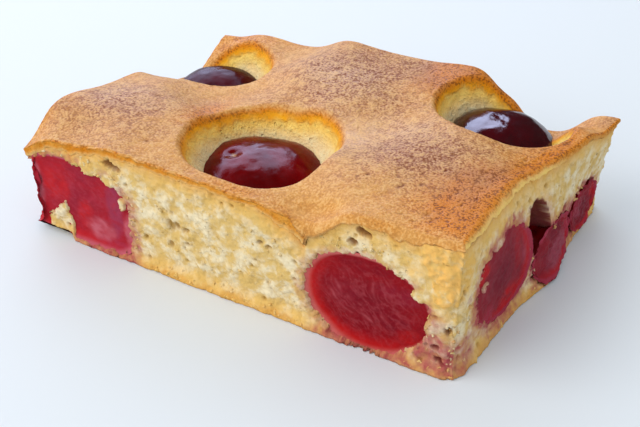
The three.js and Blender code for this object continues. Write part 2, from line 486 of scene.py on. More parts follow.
WHOLE_FRUITS = (
    Fruit("cherry_centre", (-7.9, -10.6, 10.8), (13.8, 11.9, 8.8), turn=18, power=2.4),
    Fruit(
        "cherry_back_left", (-31.6, 13.8, 9), (11.8, 10.6, 8.2), turn=-8,
        cut_by=(Side.LEFT,), bleed=0.6, lean=-0.16,
    ),
    Fruit(
        "cherry_right_back", (30.5, 19.2, 11.4), (12.5, 11.2, 10), turn=18, power=2.3,
        cut_by=(Side.BACK,), bleed=0.6, lean=-0.24, ragged=0.008, recess=0.3, sag=0.12,
    ),
)
CUT_FRUITS = (
    Fruit(
        "cherry_front_cut", (24.3, -30.6, 9.8), (12.8, 8.9, 10.5), power=2.1,
        cut_by=(Side.FRONT,), bleed=0.45,
        blotches=blotches_on(
            Side.FRONT,
            haze=[(30.5, 13.8, (4.6, 2.2), 0.4), (19.5, 10.5, (3.2, 3.4), 0.2)],
            core=[(29.5, 7.2, (3.6, 2.6), 0.8), (23, 17.8, (5.5, 1.6), 0.5)],
            rim=[(33, 4.6, (3, 2.6), 0.4)],
        ),
        veins=(
            ((-4.6, 5.2), (-3.6, 0.8), (-1.9, -2.4), (0.8, -3.7), (2.6, -5.8)),
            ((-1.2, -2), (0, -1), (1.9, -0.9), (3.6, -2.2)),
            ((-7, 0.6), (-5.2, -2), (-3, -3.4)),
            ((-5.8, 3.4), (-4.6, 0.4)),
            ((1.2, 4.6), (1.6, 2), (2.4, 0.6)),
        ),
    ),
    Fruit(
        "cherry_left_corner_cut", (-38.4, -26.6, 9.9), (13.2, 11, 9.7), power=2.8, low_power=6,
        cut_by=(Side.FRONT, Side.LEFT), bleed=0.6, ragged=0.08, recess=0.45,
        blotches=blotches_on(
            Side.FRONT,
            haze=[(-29.3, 10.5, (1.9, 7.5), 1), (-30, 1.6, (5, 1.6), 0.8)],
            core=[(-35.5, 17.2, (4.5, 3), 0.9)],
            rim=[(-43, 12, (3.4, 4), 0.9), (-36.6, 7, (2, 4), 0.8), (-31.8, 19, (1.6, 2), 0.8)],
            edge=[(-33.2, 4.6, (3.4, 2.6), 0.8), (-26.4, 6, (1.2, 4), 0.9), (-47.6, 11, (1.3, 6), 0.7)],
        ) + blotches_on(
            Side.LEFT,
            haze=[(-18.2, 6.5, (1.8, 5), 0.7), (-25.4, 15.6, (3.4, 2.2), 0.7)],
            core=[(-21.5, 11.5, (4, 5), 0.8)],
            rim=[(-26.6, 6, (2.6, 4), 0.7)],
            edge=[(-22.6, 3.2, (4, 1.6), 0.5)],
        ),
    ),
    Fruit(
        "cherry_right_cut_large", (42.6, -13.2, 12.1), (8.6, 10.4, 9.5), power=2.2,
        cut_by=(Side.RIGHT,), bleed=0.9, tilt=-0.1, ragged=0.13, recess=0.5,
        blotches=blotches_on(
            Side.RIGHT,
            rim=[(-21, 17.2, (2.6, 2.2), 1), (-10, 4.8, (4.5, 3.4), 0.8), (-8, 15, (1.6, 5), 0.3)],
            haze=[(-4.8, 13.5, (1.8, 5), 0.8)],
            edge=[(-18.5, 5.4, (2.6, 2.4), 0.6)],
        ),
    ),
    Fruit(
        "cherry_right_cut_torn", (45.2, 5.4, 6.4), (6.8, 7.7, 5.9), power=2.3,
        cut_by=(Side.RIGHT,), bleed=1, ragged=0.26, recess=0.8,
        blotches=blotches_on(
            Side.RIGHT,
            haze=[(7, 4.6, (5, 4), 1)],
            edge=[(12, 8.5, (2.5, 3.5), 0.6)],
            core=[(5.5, 9.6, (2.6, 2.2), 0.9)],
        ),
    ),
    Fruit(
        "cherry_right_cut_low", (47.6, 19.6, 7), (4.8, 5.7, 5.2), power=2.2,
        cut_by=(Side.RIGHT,), bleed=1, ragged=0.26, recess=0.8,
        blotches=blotches_on(
            Side.RIGHT,
            rim=[(23.6, 9.2, (1.8, 2.2), 0.9)],
            core=[(19, 5, (4, 4), 0.6)],
            haze=[(17, 8, (1.8, 2.4), 0.6)],
        ),
    ),
)


@dataclass(frozen=True)
class Dent:
    """A hole or hollow in the crumb of a side, at a place along it and a height."""

    side: Side
    along: float
    height: float
    half: Pair
    depth: float
    lean: float = 0.0
    juicy: float = 0.0

    def share(self, along: float, height: float) -> float:
        """Returns 1 in the middle of the dent, falling to 0 at its edge and below 0 outside."""
        turn = math.radians(self.lean)
        across, up = along - self.along, height - self.height
        a = (across * math.cos(turn) + up * math.sin(turn)) / self.half[0]
        b = (up * math.cos(turn) - across * math.sin(turn)) / self.half[1]
        return 1.0 - a * a - b * b


def dents_on(side: Side, *rows: tuple) -> tuple[Dent, ...]:
    """Returns dents on one side, from rows of place, height, half sizes, depth, lean and juice."""
    return tuple(Dent(side, *row) for row in rows)


@dataclass(frozen=True)
class CrustEdge:
    """The baked layer where it shows on the cut sides: how thick it is and how far it stands out."""

    front: Knots = (
        (-49, 2.6), (-45.5, 3.4), (-43, 2.3), (-38, 2.7), (-35.5, 2.2), (-30, 2.4), (-23.7, 1.9),
        (-5, 1.7), (1.7, 1.9), (5.6, 3), (7.4, 4), (10.8, 4.6), (12.4, 5.6), (12.9, 3.2), (15, 2.6),
        (17.1, 2.2), (19.3, 2), (25.3, 1.9), (30.5, 2.6), (33.2, 2.3), (36.6, 1.2), (39.4, 1.5),
        (41.8, 1.1),
    )
    right: Knots = (
        (-31, 0.9), (-27, 1.1), (-20, 1.5), (-10, 1.7), (-1.6, 1.6), (5, 1.5), (30, 1.3),
    )
    plain: float = 1.7
    thinnest: float = 0.5
    ragged: float = 0.3
    ragged_to: float = 2.5
    torn: Relief = Relief(1.6, octaves=4)
    torn_wide: Relief = Relief(5.0, 0.5)
    stands_out: float = 0.15
    rough: Relief = Relief(1.2, 0.14)
    rough_below: Ease = Ease(0.0, 0.3)
    tear: Relief = Relief(1.9, 0.30, 4)
    tear_in: float = 0.12
    crease_top: float = 9.4
    crease_slant: float = 0.95
    crease_end: float = 12.5
    crease_wave: Relief = Relief(1.2, 0.25)
    crease_ease: Pair = (-0.2, 0.1)
    flap_end: float = 31.0
    flap_out: float = 0.8
    flap_at_top: float = 0.4
    corner_ease: float = 3.0
    corner_out: float = 0.3
    roll_front: Knots = ((-30.0, 0.5), (8.6, 0.35), (11.0, 1.5), (30.0, 1.7), (36.0, 1.2), (42.0, 1.3))
    roll_right: Knots = ((-30.0, 1.3), (-20.0, 2.4), (-6.0, 1.8), (8.0, 1.1), (31.0, 0.6))
    plain_roll: float = 0.6
    roll_reach: Pair = (3.0, 0.6)

    def crease(self, depth: float) -> float:
        """Returns where the crease between the torn edge and the flap lies at a depth."""
        return min(self.crease_top + self.crease_slant * depth, self.crease_end)

    def behind_crease(self, x: float, depth: float) -> float:
        """Returns 1 on the flap, right of the crease, and 0 on the torn edge."""
        line = self.crease(depth) + self.crease_wave.at(Vector((x, depth, Plane.CREASE)))
        return smooth(line + self.crease_ease[0], line + self.crease_ease[1], x)

    def roll(self, side: Side, along: float) -> float:
        """Returns how far the crust rolls over before it turns down a side."""
        knots = {Side.FRONT: self.roll_front, Side.RIGHT: self.roll_right}.get(side)
        return along_knots(knots, along) if knots else self.plain_roll

    def thickness(self, side: Side, point: Vector) -> float:
        """Returns how far down a side the baked layer reaches at a point, with its ragged edge."""
        knots = {Side.FRONT: self.front, Side.RIGHT: self.right}.get(side)
        even = along_knots(knots, place_along(side, point.x, point.y)) if knots else self.plain
        torn = self.torn.at(Vector((point.x, point.y, Plane.EDGE)))
        torn += self.torn_wide.at(Vector((point.x, point.y, Plane.EDGE_WIDE)))
        return max(even + self.ragged * torn * min(even, self.ragged_to), self.thinnest)

    def rolled_in(self, u: float, v: float, depth: float) -> Vector:
        """Finds how the layer is drawn in where it rolls over the nearby sides.

        Args:
            u: Share along the slice.
            v: Share across it.
            depth: How far below the crust, in millimetres.

        Returns:
            The shift, away from those sides.
        """
        x, y = CAKE.bowed_plan(u, v, 1.0)
        shift = Vector()
        for side, gap in side_gaps(u, v).items():
            roll = self.roll(side, place_along(side, x, y))
            left = max(1.0 - depth / roll, 0.0)
            drawn = roll * (1.0 - math.sqrt(max(1.0 - left * left, 0.0)))
            reach = self.roll_reach[0] * roll + self.roll_reach[1]
            shift -= CAKE.normal(side) * drawn * smooth(reach, 0.0, gap)
        return shift

    def out(self, side: Side, point: Vector, share: float, depth: float) -> float:
        """Measures how far the layer stands out from the side.

        Args:
            side: The side.
            point: The point on the side.
            share: Share of the way down the layer.
            depth: The same in millimetres.

        Returns:
            The distance, below zero where the layer is drawn in.
        """
        where = Vector((point.x, point.y, point.z - depth))
        rough = self.rough.at(where) * self.rough_below.at(depth)
        flap = 0.0
        if side is Side.FRONT:
            behind = self.behind_crease(point.x, depth)
            rough += (1.0 - behind) * (self.tear.at(where) - self.tear_in)
            hanging = self.flap_out * behind * smooth(self.flap_end, self.crease_end, point.x)
            flap = hanging * blend(self.flap_at_top, 1.0, share)
            flap += self.corner_out * smooth(self.flap_end, self.flap_end + self.corner_ease, point.x) * share
        return self.stands_out + rough + flap


def clear_of_top(x: float, y: float, drop: float) -> float:
    """Returns a height that stays a drop below the open surface all round a place."""
    reach = 1.3
    around = ((0.0, 0.0), (reach, 0.0), (-reach, 0.0), (0.0, reach), (0.0, -reach))
    return min(CAKE.top(x + dx, y + dy) for dx, dy in around) - drop


def boundary_ring(geometry: Iterable, level: float) -> list[bmesh.types.BMEdge]:
    """Picks the edges of new geometry that lie at a level."""
    edges = [item for item in geometry if isinstance(item, bmesh.types.BMEdge)]
    return [edge for edge in edges if all(abs(vert.co.z - level) < WELD for vert in edge.verts)]


def raise_ring(
    bm: bmesh.types.BMesh, ring: list[bmesh.types.BMEdge], level: float
) -> list[bmesh.types.BMEdge]:
    """Extrudes a ring of edges to a new level.

    Args:
        bm: The mesh.
        ring: The open edges to extrude.
        level: The new unit height.

    Returns:
        The ring at the new level.
    """
    made = bmesh.ops.extrude_edge_only(bm, edges=ring)["geom"]
    for item in made:
        if isinstance(item, bmesh.types.BMVert):
            item.co.z = level
    return boundary_ring(made, level)


def close_with_lid(
    bm: bmesh.types.BMesh, ring: list[bmesh.types.BMEdge], level: float, cells: tuple[int, int]
) -> None:
    """Closes a fine ring with a coarse grid, whose border the ring is drawn to.

    Args:
        bm: The mesh, still a unit block.
        ring: The open edges.
        level: The unit height of the lid.
        cells: Cells of the lid along and across.
    """
    last = raise_ring(bm, ring, level)
    rim = {vert for edge in last for vert in edge.verts}
    for vert in rim:
        vert.co.x = round(vert.co.x * cells[0]) / cells[0]
        vert.co.y = round(vert.co.y * cells[1]) / cells[1]
    centre = Matrix.Translation((0.5, 0.5, level))
    lid = bmesh.ops.create_grid(bm, x_segments=cells[0], y_segments=cells[1], size=0.5, matrix=centre)
    bmesh.ops.remove_doubles(bm, verts=list(rim) + lid["verts"], dist=WELD)


def side_gaps(u: float, v: float) -> dict[Side, float]:
    """Returns about how many millimetres a point of the unit block lies from each side."""
    return {
        Side.FRONT: v * WIDTH, Side.RIGHT: (1.0 - u) * LENGTH,
        Side.BACK: (1.0 - v) * WIDTH, Side.LEFT: u * LENGTH,
    }


def place_along(side: Side, x: float, y: float) -> float:
    """Returns the place along a side of a plan place near it."""
    return x if side in (Side.FRONT, Side.BACK) else y


def side_of(u: float, v: float) -> Side:
    """Returns the side that a border point of the unit block lies on."""
    gaps = side_gaps(u, v)
    return min(gaps, key=gaps.get)


def outward(u: float, v: float, reach: float) -> tuple[Vector, float]:
    """Finds which way a border point faces, turning smoothly round the corners.

    Args:
        u: Share along the slice.
        v: Share across it.
        reach: How far from a corner the turn starts, in millimetres.

    Returns:
        The outward direction, and 1 at a corner falling to 0 away from it.
    """
    gaps = side_gaps(u, v)
    near = sorted(gaps, key=gaps.get)[:2]
    corner = smooth(reach, 0.0, gaps[near[1]])
    return (CAKE.normal(near[0]) + corner * CAKE.normal(near[1])).normalized(), corner


def make_piece(
    bm: bmesh.types.BMesh,
    name: str,
    finishes: Sequence[bpy.types.Material],
    nodes: Sequence[str],
) -> bpy.types.Object:
    """Turns a closed mesh in millimetres into a finished piece that rides on the slice.

    Args:
        bm: The mesh, which is freed.
        name: The piece's name.
        finishes: Its materials, in the order of the faces' material numbers.
        nodes: The solids that the piece stands for.

    Returns:
        The new object.
    """
    bmesh.ops.recalc_face_normals(bm, faces=bm.faces[:])
    bmesh.ops.scale(bm, vec=(MM, MM, MM), verts=bm.verts[:])
    mesh = bpy.data.meshes.new(name)
    bm.to_mesh(mesh)
    bm.free()
    mesh.shade_smooth()
    piece = bpy.data.objects.new(name, mesh)
    bpy.context.scene.collection.objects.link(piece)
    for finish in finishes:
        mesh.materials.append(finish)
    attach(piece, BODY)
    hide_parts(*nodes)
    LOG.info("%s: %d faces", name, len(mesh.polygons))
    return piece


class Wiring:
    """A node tree while it is filled, with short calls for the nodes that the finishes use.

    A Mix node has sockets of one name for each kind of value, so its colour sockets go by number.
    """

    mix_inputs: ClassVar[tuple[int, ...]] = (0, 6, 7)
    mix_output: ClassVar[int] = 2

    def __init__(self, tree: bpy.types.NodeTree) -> None:
        """Keeps the tree to fill."""
        self.tree = tree

    def feed(self, socket: bpy.types.NodeSocket, value: object) -> None:
        """Links another node's socket to a socket, or sets its plain value."""
        if isinstance(value, bpy.types.NodeSocket):
            self.tree.links.new(value, socket)
        else:
            socket.default_value = value

    def node(self, kind: str, settings: dict[str, object] | None = None, **inputs: object) -> bpy.types.Node:
        """Adds a node.

        Args:
            kind: The node's type, without its ShaderNode prefix.
            settings: Properties of the node itself.
            **inputs: Links or values by socket name, with _ for a space.

        Returns:
            The node.
        """
        made = self.tree.nodes.new("ShaderNode" + kind)
        for key, value in (settings or {}).items():
            setattr(made, key, value)
        for key, value in inputs.items():
            self.feed(made.inputs[key.replace("_", " ")], value)
        return made

    def place(self) -> bpy.types.NodeSocket:
        """Returns the place on the object, in metres."""
        return self.node("TexCoord").outputs["Object"]

    def grain(
        self, place: object, scale: object, detail: float = 3.0, rough: float = 0.55
    ) -> bpy.types.NodeSocket:
        """Returns soft random grain between 0 and 1."""
        made = self.node("TexNoise", None, Vector=place, Scale=scale, Detail=detail, Roughness=rough)
        return made.outputs["Fac"]

    def cells(self, place: object, scale: object, feature: str = "F1") -> bpy.types.NodeSocket:
        """Returns the distance to scattered cell middles or cell edges."""
        return self.node("TexVoronoi", {"feature": feature}, Vector=place, Scale=scale).outputs["Distance"]

    def spread(self, value: object, low: float, high: float, first: float = 0.0, last: float = 1.0) -> object:
        """Returns a value eased from first at low to last at high."""
        made = self.node("MapRange", {"interpolation_type": "SMOOTHSTEP"}, Value=value)
        for name, number in (("From Min", low), ("From Max", high), ("To Min", first), ("To Max", last)):
            made.inputs[name].default_value = number
        return made.outputs["Result"]

    def sum(self, operation: str, first: object, second: object) -> bpy.types.NodeSocket:
        """Returns the result of a sum on two values."""
        made = self.node("Math", {"operation": operation})
        self.feed(made.inputs[0], first)
        self.feed(made.inputs[1], second)
        return made.outputs[0]

    def mix(self, share: object, first: object, second: object) -> bpy.types.NodeSocket:
        """Returns a colour mixed from two others by a share."""
        made = self.node("Mix", {"data_type": "RGBA"})
        for index, value in zip(self.mix_inputs, (share, first, second)):
            self.feed(made.inputs[index], (*value, 1.0) if isinstance(value, tuple) else value)
        return made.outputs[self.mix_output]

    def layer(self, masks: dict[str, object], colour: object) -> bpy.types.NodeSocket:
        """Returns a colour with others laid over it in turn, each where one of the piece's masks says."""
        for name, tint in masks.items():
            colour = self.mix(self.mask(name), colour, tint)
        return colour

    def share(self, value: object, part: object) -> bpy.types.NodeSocket:
        """Returns a value made smaller by another one."""
        return self.sum("MULTIPLY", value, part)

    def mask(self, name: str) -> bpy.types.NodeSocket:
        """Returns one of the piece's own masks."""
        return self.node("Attribute", {"attribute_name": name}).outputs["Fac"]

    def bump(self, height: object, distance: float, under: object = None) -> bpy.types.NodeSocket:
        """Returns a normal raised by a height, over another one where given."""
        made = self.node("Bump", None, Height=height, Distance=distance * MM, Strength=1.0)
        if under is not None:
            self.feed(made.inputs["Normal"], under)
        return made.outputs["Normal"]


def effect_group(
    name: str,
    inputs: dict[str, tuple[str, object]],
    outputs: dict[str, str],
    fill: Callable[..., dict[str, object]],
) -> bpy.types.NodeTree:
    """Builds a shared effect once.

    Args:
        name: The group's name.
        inputs: Socket types and default values by name.
        outputs: Socket types by name.
        fill: Fills the wiring from the input sockets and returns what each output gets.

    Returns:
        The node group.
    """
    if name in bpy.data.node_groups:
        return bpy.data.node_groups[name]
    group = bpy.data.node_groups.new(name, "ShaderNodeTree")
    for key, (kind, value) in inputs.items():
        socket = group.interface.new_socket(key, in_out="INPUT", socket_type="NodeSocket" + kind)
        if value is not None:
            socket.default_value = value
    for key, kind in outputs.items():
        group.interface.new_socket(key, in_out="OUTPUT", socket_type="NodeSocket" + kind)
    wiring = Wiring(group)
    given = group.nodes.new("NodeGroupInput")
    result = group.nodes.new("NodeGroupOutput")
    made = fill(wiring, *(given.outputs[key] for key in inputs))
    for key, value in made.items():
        wiring.feed(result.inputs[key], value)
    return group


def crumb_grain_group() -> bpy.types.NodeTree:
    """Returns the fine open grain of sponge crumb: its mottled tone, its pores and its height."""
    coarse_scale, fine_scale, pore_scale, pore_depth = 420.0, 1500.0, 900.0, 1.6

    def fill(wiring: Wiring, place: object, scale: object) -> dict[str, object]:
        """Wires the grain from the place and a scale.

        Args:
            wiring: The group's wiring.
            place: The place on the object.
            scale: How fine the grain is.

        Returns:
            What each output gets.
        """
        coarse = wiring.grain(place, wiring.share(scale, coarse_scale), detail=4.0, rough=0.62)
        fine = wiring.grain(place, wiring.share(scale, fine_scale), rough=0.6)
        cells = wiring.cells(place, wiring.share(scale, pore_scale))
        pores = wiring.share(wiring.spread(cells, 0.32, 0.10), wiring.spread(coarse, 0.5, 0.66))
        mottled, speckled = wiring.spread(coarse, 0.3, 0.7, last=0.7), wiring.spread(fine, 0.3, 0.7, last=0.3)
        tone = wiring.sum("ADD", mottled, speckled)
        height = wiring.sum("SUBTRACT", wiring.sum("ADD", tone, fine), wiring.share(pores, pore_depth))
        return {"Tone": tone, "Pores": pores, "Height": height}

    return effect_group(
        "crumb_grain",
        {"Place": ("Vector", None), "Scale": ("Float", 1.0)},
        {"Tone": "Float", "Pores": "Float", "Height": "Float"},
        fill,
    )


def bake_speckle_group() -> bpy.types.NodeTree:
    """Returns the fine speckle of baked crust: dark and light specks, blotches and height."""
    speck_scale, clump_scale, blotch_scale, clump_share = 2300.0, 700.0, 380.0, 0.7

    def fill(wiring: Wiring, place: object, scale: object) -> dict[str, object]:
        """Wires the speckle from the place and a scale.

        Args:
            wiring: The group's wiring.
            place: The place on the object.
            scale: How fine the speckle is.

        Returns:
            What each output gets.
        """
        specks = wiring.grain(place, wiring.share(scale, speck_scale), detail=2.0, rough=0.5)
        clumps = wiring.grain(place, wiring.share(scale, clump_scale), detail=4.0, rough=0.65)
        blotches = wiring.grain(place, wiring.share(scale, blotch_scale), rough=0.5)
        both = wiring.sum("ADD", specks, wiring.share(clumps, clump_share))
        return {
            "Dark": wiring.spread(both, 0.86, 0.70),
            "Light": wiring.spread(both, 0.86, 1.0),
            "Blotches": wiring.spread(blotches, 0.46, 0.66),
            "Height": both,
        }

    return effect_group(
        "bake_speckle",
        {"Place": ("Vector", None), "Scale": ("Float", 1.0)},
        {"Dark": "Float", "Light": "Float", "Blotches": "Float", "Height": "Float"},
        fill,
    )


@dataclass(frozen=True)
class Finish:
    """What every finish has: a name, and a shader whose plain values are set on its own sockets."""

    name: str

    def start(self) -> tuple[bpy.types.Material, Wiring, bpy.types.Node]:
        """Makes the material with its shader.

        Returns:
            The material, its wiring and its shader.
        """
        material = bpy.data.materials.new(self.name)
        material.use_nodes = True
        return material, Wiring(material.node_tree), material.node_tree.nodes["Principled BSDF"]


def effect(wiring: Wiring, group: bpy.types.NodeTree, scale: float) -> dict[str, bpy.types.NodeSocket]:
    """Places a shared effect in a material.

    Args:
        wiring: The material's wiring.
        group: The effect's group.
        scale: How fine it is.

    Returns:
        The effect's outputs by name.
    """
    made = wiring.node("Group", {"node_tree": group}, Place=wiring.place(), Scale=scale)
    return {socket.name: socket for socket in made.outputs}


@dataclass(frozen=True)
class SpongeFinish(Finish):
    """Cut sponge crumb: pale, mottled, toasted at the base and stained by the fruit, with painted shade in
    its pores, holes and clefts, and painted highlights on its standing clumps.
    """

    pale: Triple = (0.88, 0.75, 0.50)
    deep: Triple = (0.74, 0.50, 0.17)
    golden: Triple = (0.84, 0.50, 0.13)
    peach: Triple = (0.92, 0.52, 0.14)
    # Painted shade: the dark laid into pores, dents and clefts, where shade falls.
    pore: Triple = (0.40, 0.22, 0.045)
    toast: Triple = (0.72, 0.36, 0.075)
    stain: Triple = (0.42, 0.07, 0.08)
    juice: Triple = (0.15, 0.008, 0.014)
    pore_share: float = 0.2
    patch_scale: float = 420.0
    grain_depth: float = 0.12
    roughness: float = 0.85
    specular: float = 0.1

    def build(self) -> bpy.types.Material:
        """Builds the material."""
        material, wiring, shader = self.start()
        grain = effect(wiring, crumb_grain_group(), 1.0)
        # The tone mask holds random mottle plus a painted highlight on standing clumps.
        tone = wiring.spread(wiring.sum("ADD", grain["Tone"], wiring.mask("tone")), 0.45, 1.5)
        colour = wiring.mix(tone, self.deep, self.pale)
        colour = wiring.layer({"gold": self.golden, "peach": self.peach}, colour)
        # Painted shade: the fine pores of the grain and the marked pores, dents and clefts are darkened.
        colour = wiring.mix(wiring.share(grain["Pores"], self.pore_share), colour, self.pore)
        colour = wiring.layer({"pore": self.pore}, colour)
        patchy = wiring.spread(wiring.grain(wiring.place(), self.patch_scale), 0.25, 0.7, first=0.6)
        for name, tint in {"toast": self.toast, "stain": self.stain}.items():
            colour = wiring.mix(wiring.share(wiring.mask(name), patchy), colour, tint)
        wiring.feed(shader.inputs["Base Color"], wiring.layer({"juice": self.juice}, colour))
        wiring.feed(shader.inputs["Normal"], wiring.bump(grain["Height"], self.grain_depth))
        shader.inputs["Roughness"].default_value = self.roughness
        shader.inputs["Specular IOR Level"].default_value = self.specular
        return material


@dataclass(frozen=True)
class CrustFinish(Finish):
    """Baked crust: golden to brown and speckled on top, with a painted pinkish sheen on the dome tops, torn
    at its edge, crumb in the pits.
    """

    golden: Triple = (0.68, 0.33, 0.09)
    orange: Triple = (0.66, 0.20, 0.005)
    brown: Triple = (0.45, 0.21, 0.11)
    dark: Triple = (0.24, 0.07, 0.014)
    light: Triple = (0.86, 0.54, 0.22)
    torn: Triple = (0.78, 0.36, 0.06)
    # Ochre: baked colour below the pit rims, darkened there partly as painted shade of the rim's overhang.
    ochre: Triple = (0.96, 0.44, 0.015)
    yellow: Triple = (0.97, 0.68, 0.18)
    cream: Triple = (0.90, 0.75, 0.45)
    # Painted shade: the near-black laid into cracks, the flap's crease and the pinholes.
    crack: Triple = (0.16, 0.035, 0.008)
    gold: Triple = (0.88, 0.54, 0.19)
    # Painted sheen: a pale pinkish tone that stands in for the window light's glint on the domes.
    painted_sheen: Triple = (0.74, 0.50, 0.36)
    orange_shade: float = 0.8
    cloudy: Pair = (0.18, 0.04)
    paler: Pair = (0.45, 0.08)
    grain_depth: float = 0.22
    speckle_depth: float = 0.16
    roughness: float = 0.55
    crumb_roughness: float = 0.85
    specular: float = 0.05

    def baked(self, wiring: Wiring, speckle: dict[str, bpy.types.NodeSocket]) -> bpy.types.NodeSocket:
        """Wires the colour of the baked surface.

        Args:
            wiring: The material's wiring.
            speckle: The outputs of the speckle.

        Returns:
            The colour.
        """
        brown, orange = wiring.mask("brown"), wiring.mask("orange")
        colour = wiring.mix(orange, self.golden, self.orange)
        # Lays the painted sheen over the baked colour.
        colour = wiring.layer({"brown": self.brown, "painted_sheen": self.painted_sheen}, colour)
        shade = wiring.sum("MAXIMUM", brown, wiring.share(orange, self.orange_shade))
        darker = wiring.share(speckle["Dark"], wiring.spread(shade, 0.0, 1.0, first=0.25))
        colour = wiring.mix(darker, colour, self.dark)
        for name, strength in (("Blotches", self.cloudy), ("Light", self.paler)):
            share = wiring.share(speckle[name], wiring.spread(orange, 0.3, 1.0, *strength))
            colour = wiring.mix(share, colour, self.light)
        return colour

    def build(self) -> bpy.types.Material:
        """Builds the material."""
        material, wiring, shader = self.start()
        speckle = effect(wiring, bake_speckle_group(), 1.0)
        grain = effect(wiring, crumb_grain_group(), 1.0)
        torn = wiring.mix(grain["Tone"], self.orange, self.torn)
        gold = wiring.mix(grain["Tone"], self.yellow, self.gold)
        crumb = wiring.layer({"deep": self.cream}, self.yellow)
        crumb = wiring.mix(wiring.spread(grain["Tone"], 0.3, 0.9, 0.2, 0.0), crumb, self.ochre)
        layers = {"torn": torn, "ochre": self.ochre, "gold": gold, "wall": crumb, "crack": self.crack}
        wiring.feed(shader.inputs["Base Color"], wiring.layer(layers, self.baked(wiring, speckle)))
        crumbly = wiring.sum("MAXIMUM", wiring.mask("wall"), wiring.mask("torn"))
        rough = wiring.spread(crumbly, 0.0, 1.0, self.roughness, self.crumb_roughness)
        wiring.feed(shader.inputs["Roughness"], rough)
        height = wiring.share(grain["Height"], wiring.spread(crumbly, 0.0, 1.0, first=0.25))
        normal = wiring.bump(height, self.grain_depth)
        wiring.feed(shader.inputs["Normal"], wiring.bump(speckle["Height"], self.speckle_depth, normal))
        shader.inputs["Specular IOR Level"].default_value = self.specular
        return material


@dataclass(frozen=True)
class SkinFinish(Finish):
    """Cherry skin: dark, wet and glossy, faintly wrinkled and redder where it is thin."""

    base: Triple
    thin: Triple
    gloss: Pair = (0.13, 0.27)
    bend: float = 1.40
    scar: Triple = (0.42, 0.22, 0.10)
    patch_scale: float = 120.0
    fold_scale: float = 300.0
    fold_depth: float = 0.12
    smear_scale: float = 500.0

    def build(self) -> bpy.types.Material:
        """Builds the material."""
        material, wiring, shader = self.start()
        place = wiring.place()
        patchy = wiring.spread(wiring.grain(place, self.patch_scale), 0.35, 0.68)
        colour = wiring.mix(patchy, self.base, self.thin)
        wiring.feed(shader.inputs["Base Color"], wiring.layer({"scar": self.scar}, colour))
        folds = wiring.grain(place, self.fold_scale, detail=4.0, rough=0.6)
        wiring.feed(shader.inputs["Normal"], wiring.bump(folds, self.fold_depth))
        smear = wiring.spread(wiring.grain(place, self.smear_scale), 0.3, 0.7, *self.gloss)
        wiring.feed(shader.inputs["Roughness"], smear)
        shader.inputs["IOR"].default_value = self.bend
        return material


@dataclass(frozen=True)
class FleshFinish(Finish):
    """Cut cherry flesh: wet, with pale fibres, a bright rim painted as light shining through on the side that
    faces the light, a pale edge wider there, a bruised core.
    """

    flesh: Triple
    core: Triple
    # Rim: painted light shining through the flesh. Edge: pale outer flesh, widened on the lit side as painted
    # light.
    rim: Triple
    edge: Triple
    fibre: Triple = (0.40, 0.06, 0.08)
    haze: Triple = (0.32, 0.045, 0.085)
    patch_scale: float = 300.0
    drop_scale: float = 1500.0
    drop_share: float = 0.5
    wet_depth: float = 0.16
    roughness: float = 0.5
    bend: float = 1.38
    specular: float = 0.07

    def build(self) -> bpy.types.Material:
        """Builds the material."""
        material, wiring, shader = self.start()
        place = wiring.place()
        patchy = wiring.grain(place, self.patch_scale, detail=4.0, rough=0.6)
        colour = wiring.layer({"core": self.core}, self.flesh)
        colour = wiring.mix(wiring.spread(patchy, 0.35, 0.75, last=0.5), colour, self.core)
        layers = {"haze": self.haze, "rim": self.rim, "fibre": self.fibre, "edge": self.edge}
        wiring.feed(shader.inputs["Base Color"], wiring.layer(layers, colour))
        wet = wiring.sum("ADD", patchy, wiring.share(wiring.grain(place, self.drop_scale), self.drop_share))
        wiring.feed(shader.inputs["Normal"], wiring.bump(wet, self.wet_depth))
        shader.inputs["Roughness"].default_value = self.roughness
        shader.inputs["IOR"].default_value = self.bend
        shader.inputs["Specular IOR Level"].default_value = self.specular
        return material


@dataclass(frozen=True)
class FloorFinish(Finish):
    """A plain pale floor."""

    colour: Triple = (0.75, 0.80, 0.85)
    roughness: float = 0.7
    specular: float = 0.2

    def build(self) -> bpy.types.Material:
        """Builds the material."""
        material, _, shader = self.start()
        shader.inputs["Base Color"].default_value = (*self.colour, 1.0)
        shader.inputs["Roughness"].default_value = self.roughness
        shader.inputs["Specular IOR Level"].default_value = self.specular
        return material


class Masks:
    """Named values from 0 to 1 on a mesh's points, which its finish reads."""

    def __init__(self, bm: bmesh.types.BMesh, names: Sequence[str]) -> None:
        """Makes one layer for each name."""
        self.layers = {name: bm.verts.layers.float.new(name) for name in names}

    def write(self, vert: bmesh.types.BMVert, values: dict[str, float]) -> None:
        """Sets a point's values."""
        for name, value in values.items():
            vert[self.layers[name]] = min(max(value, 0.0), 1.0)


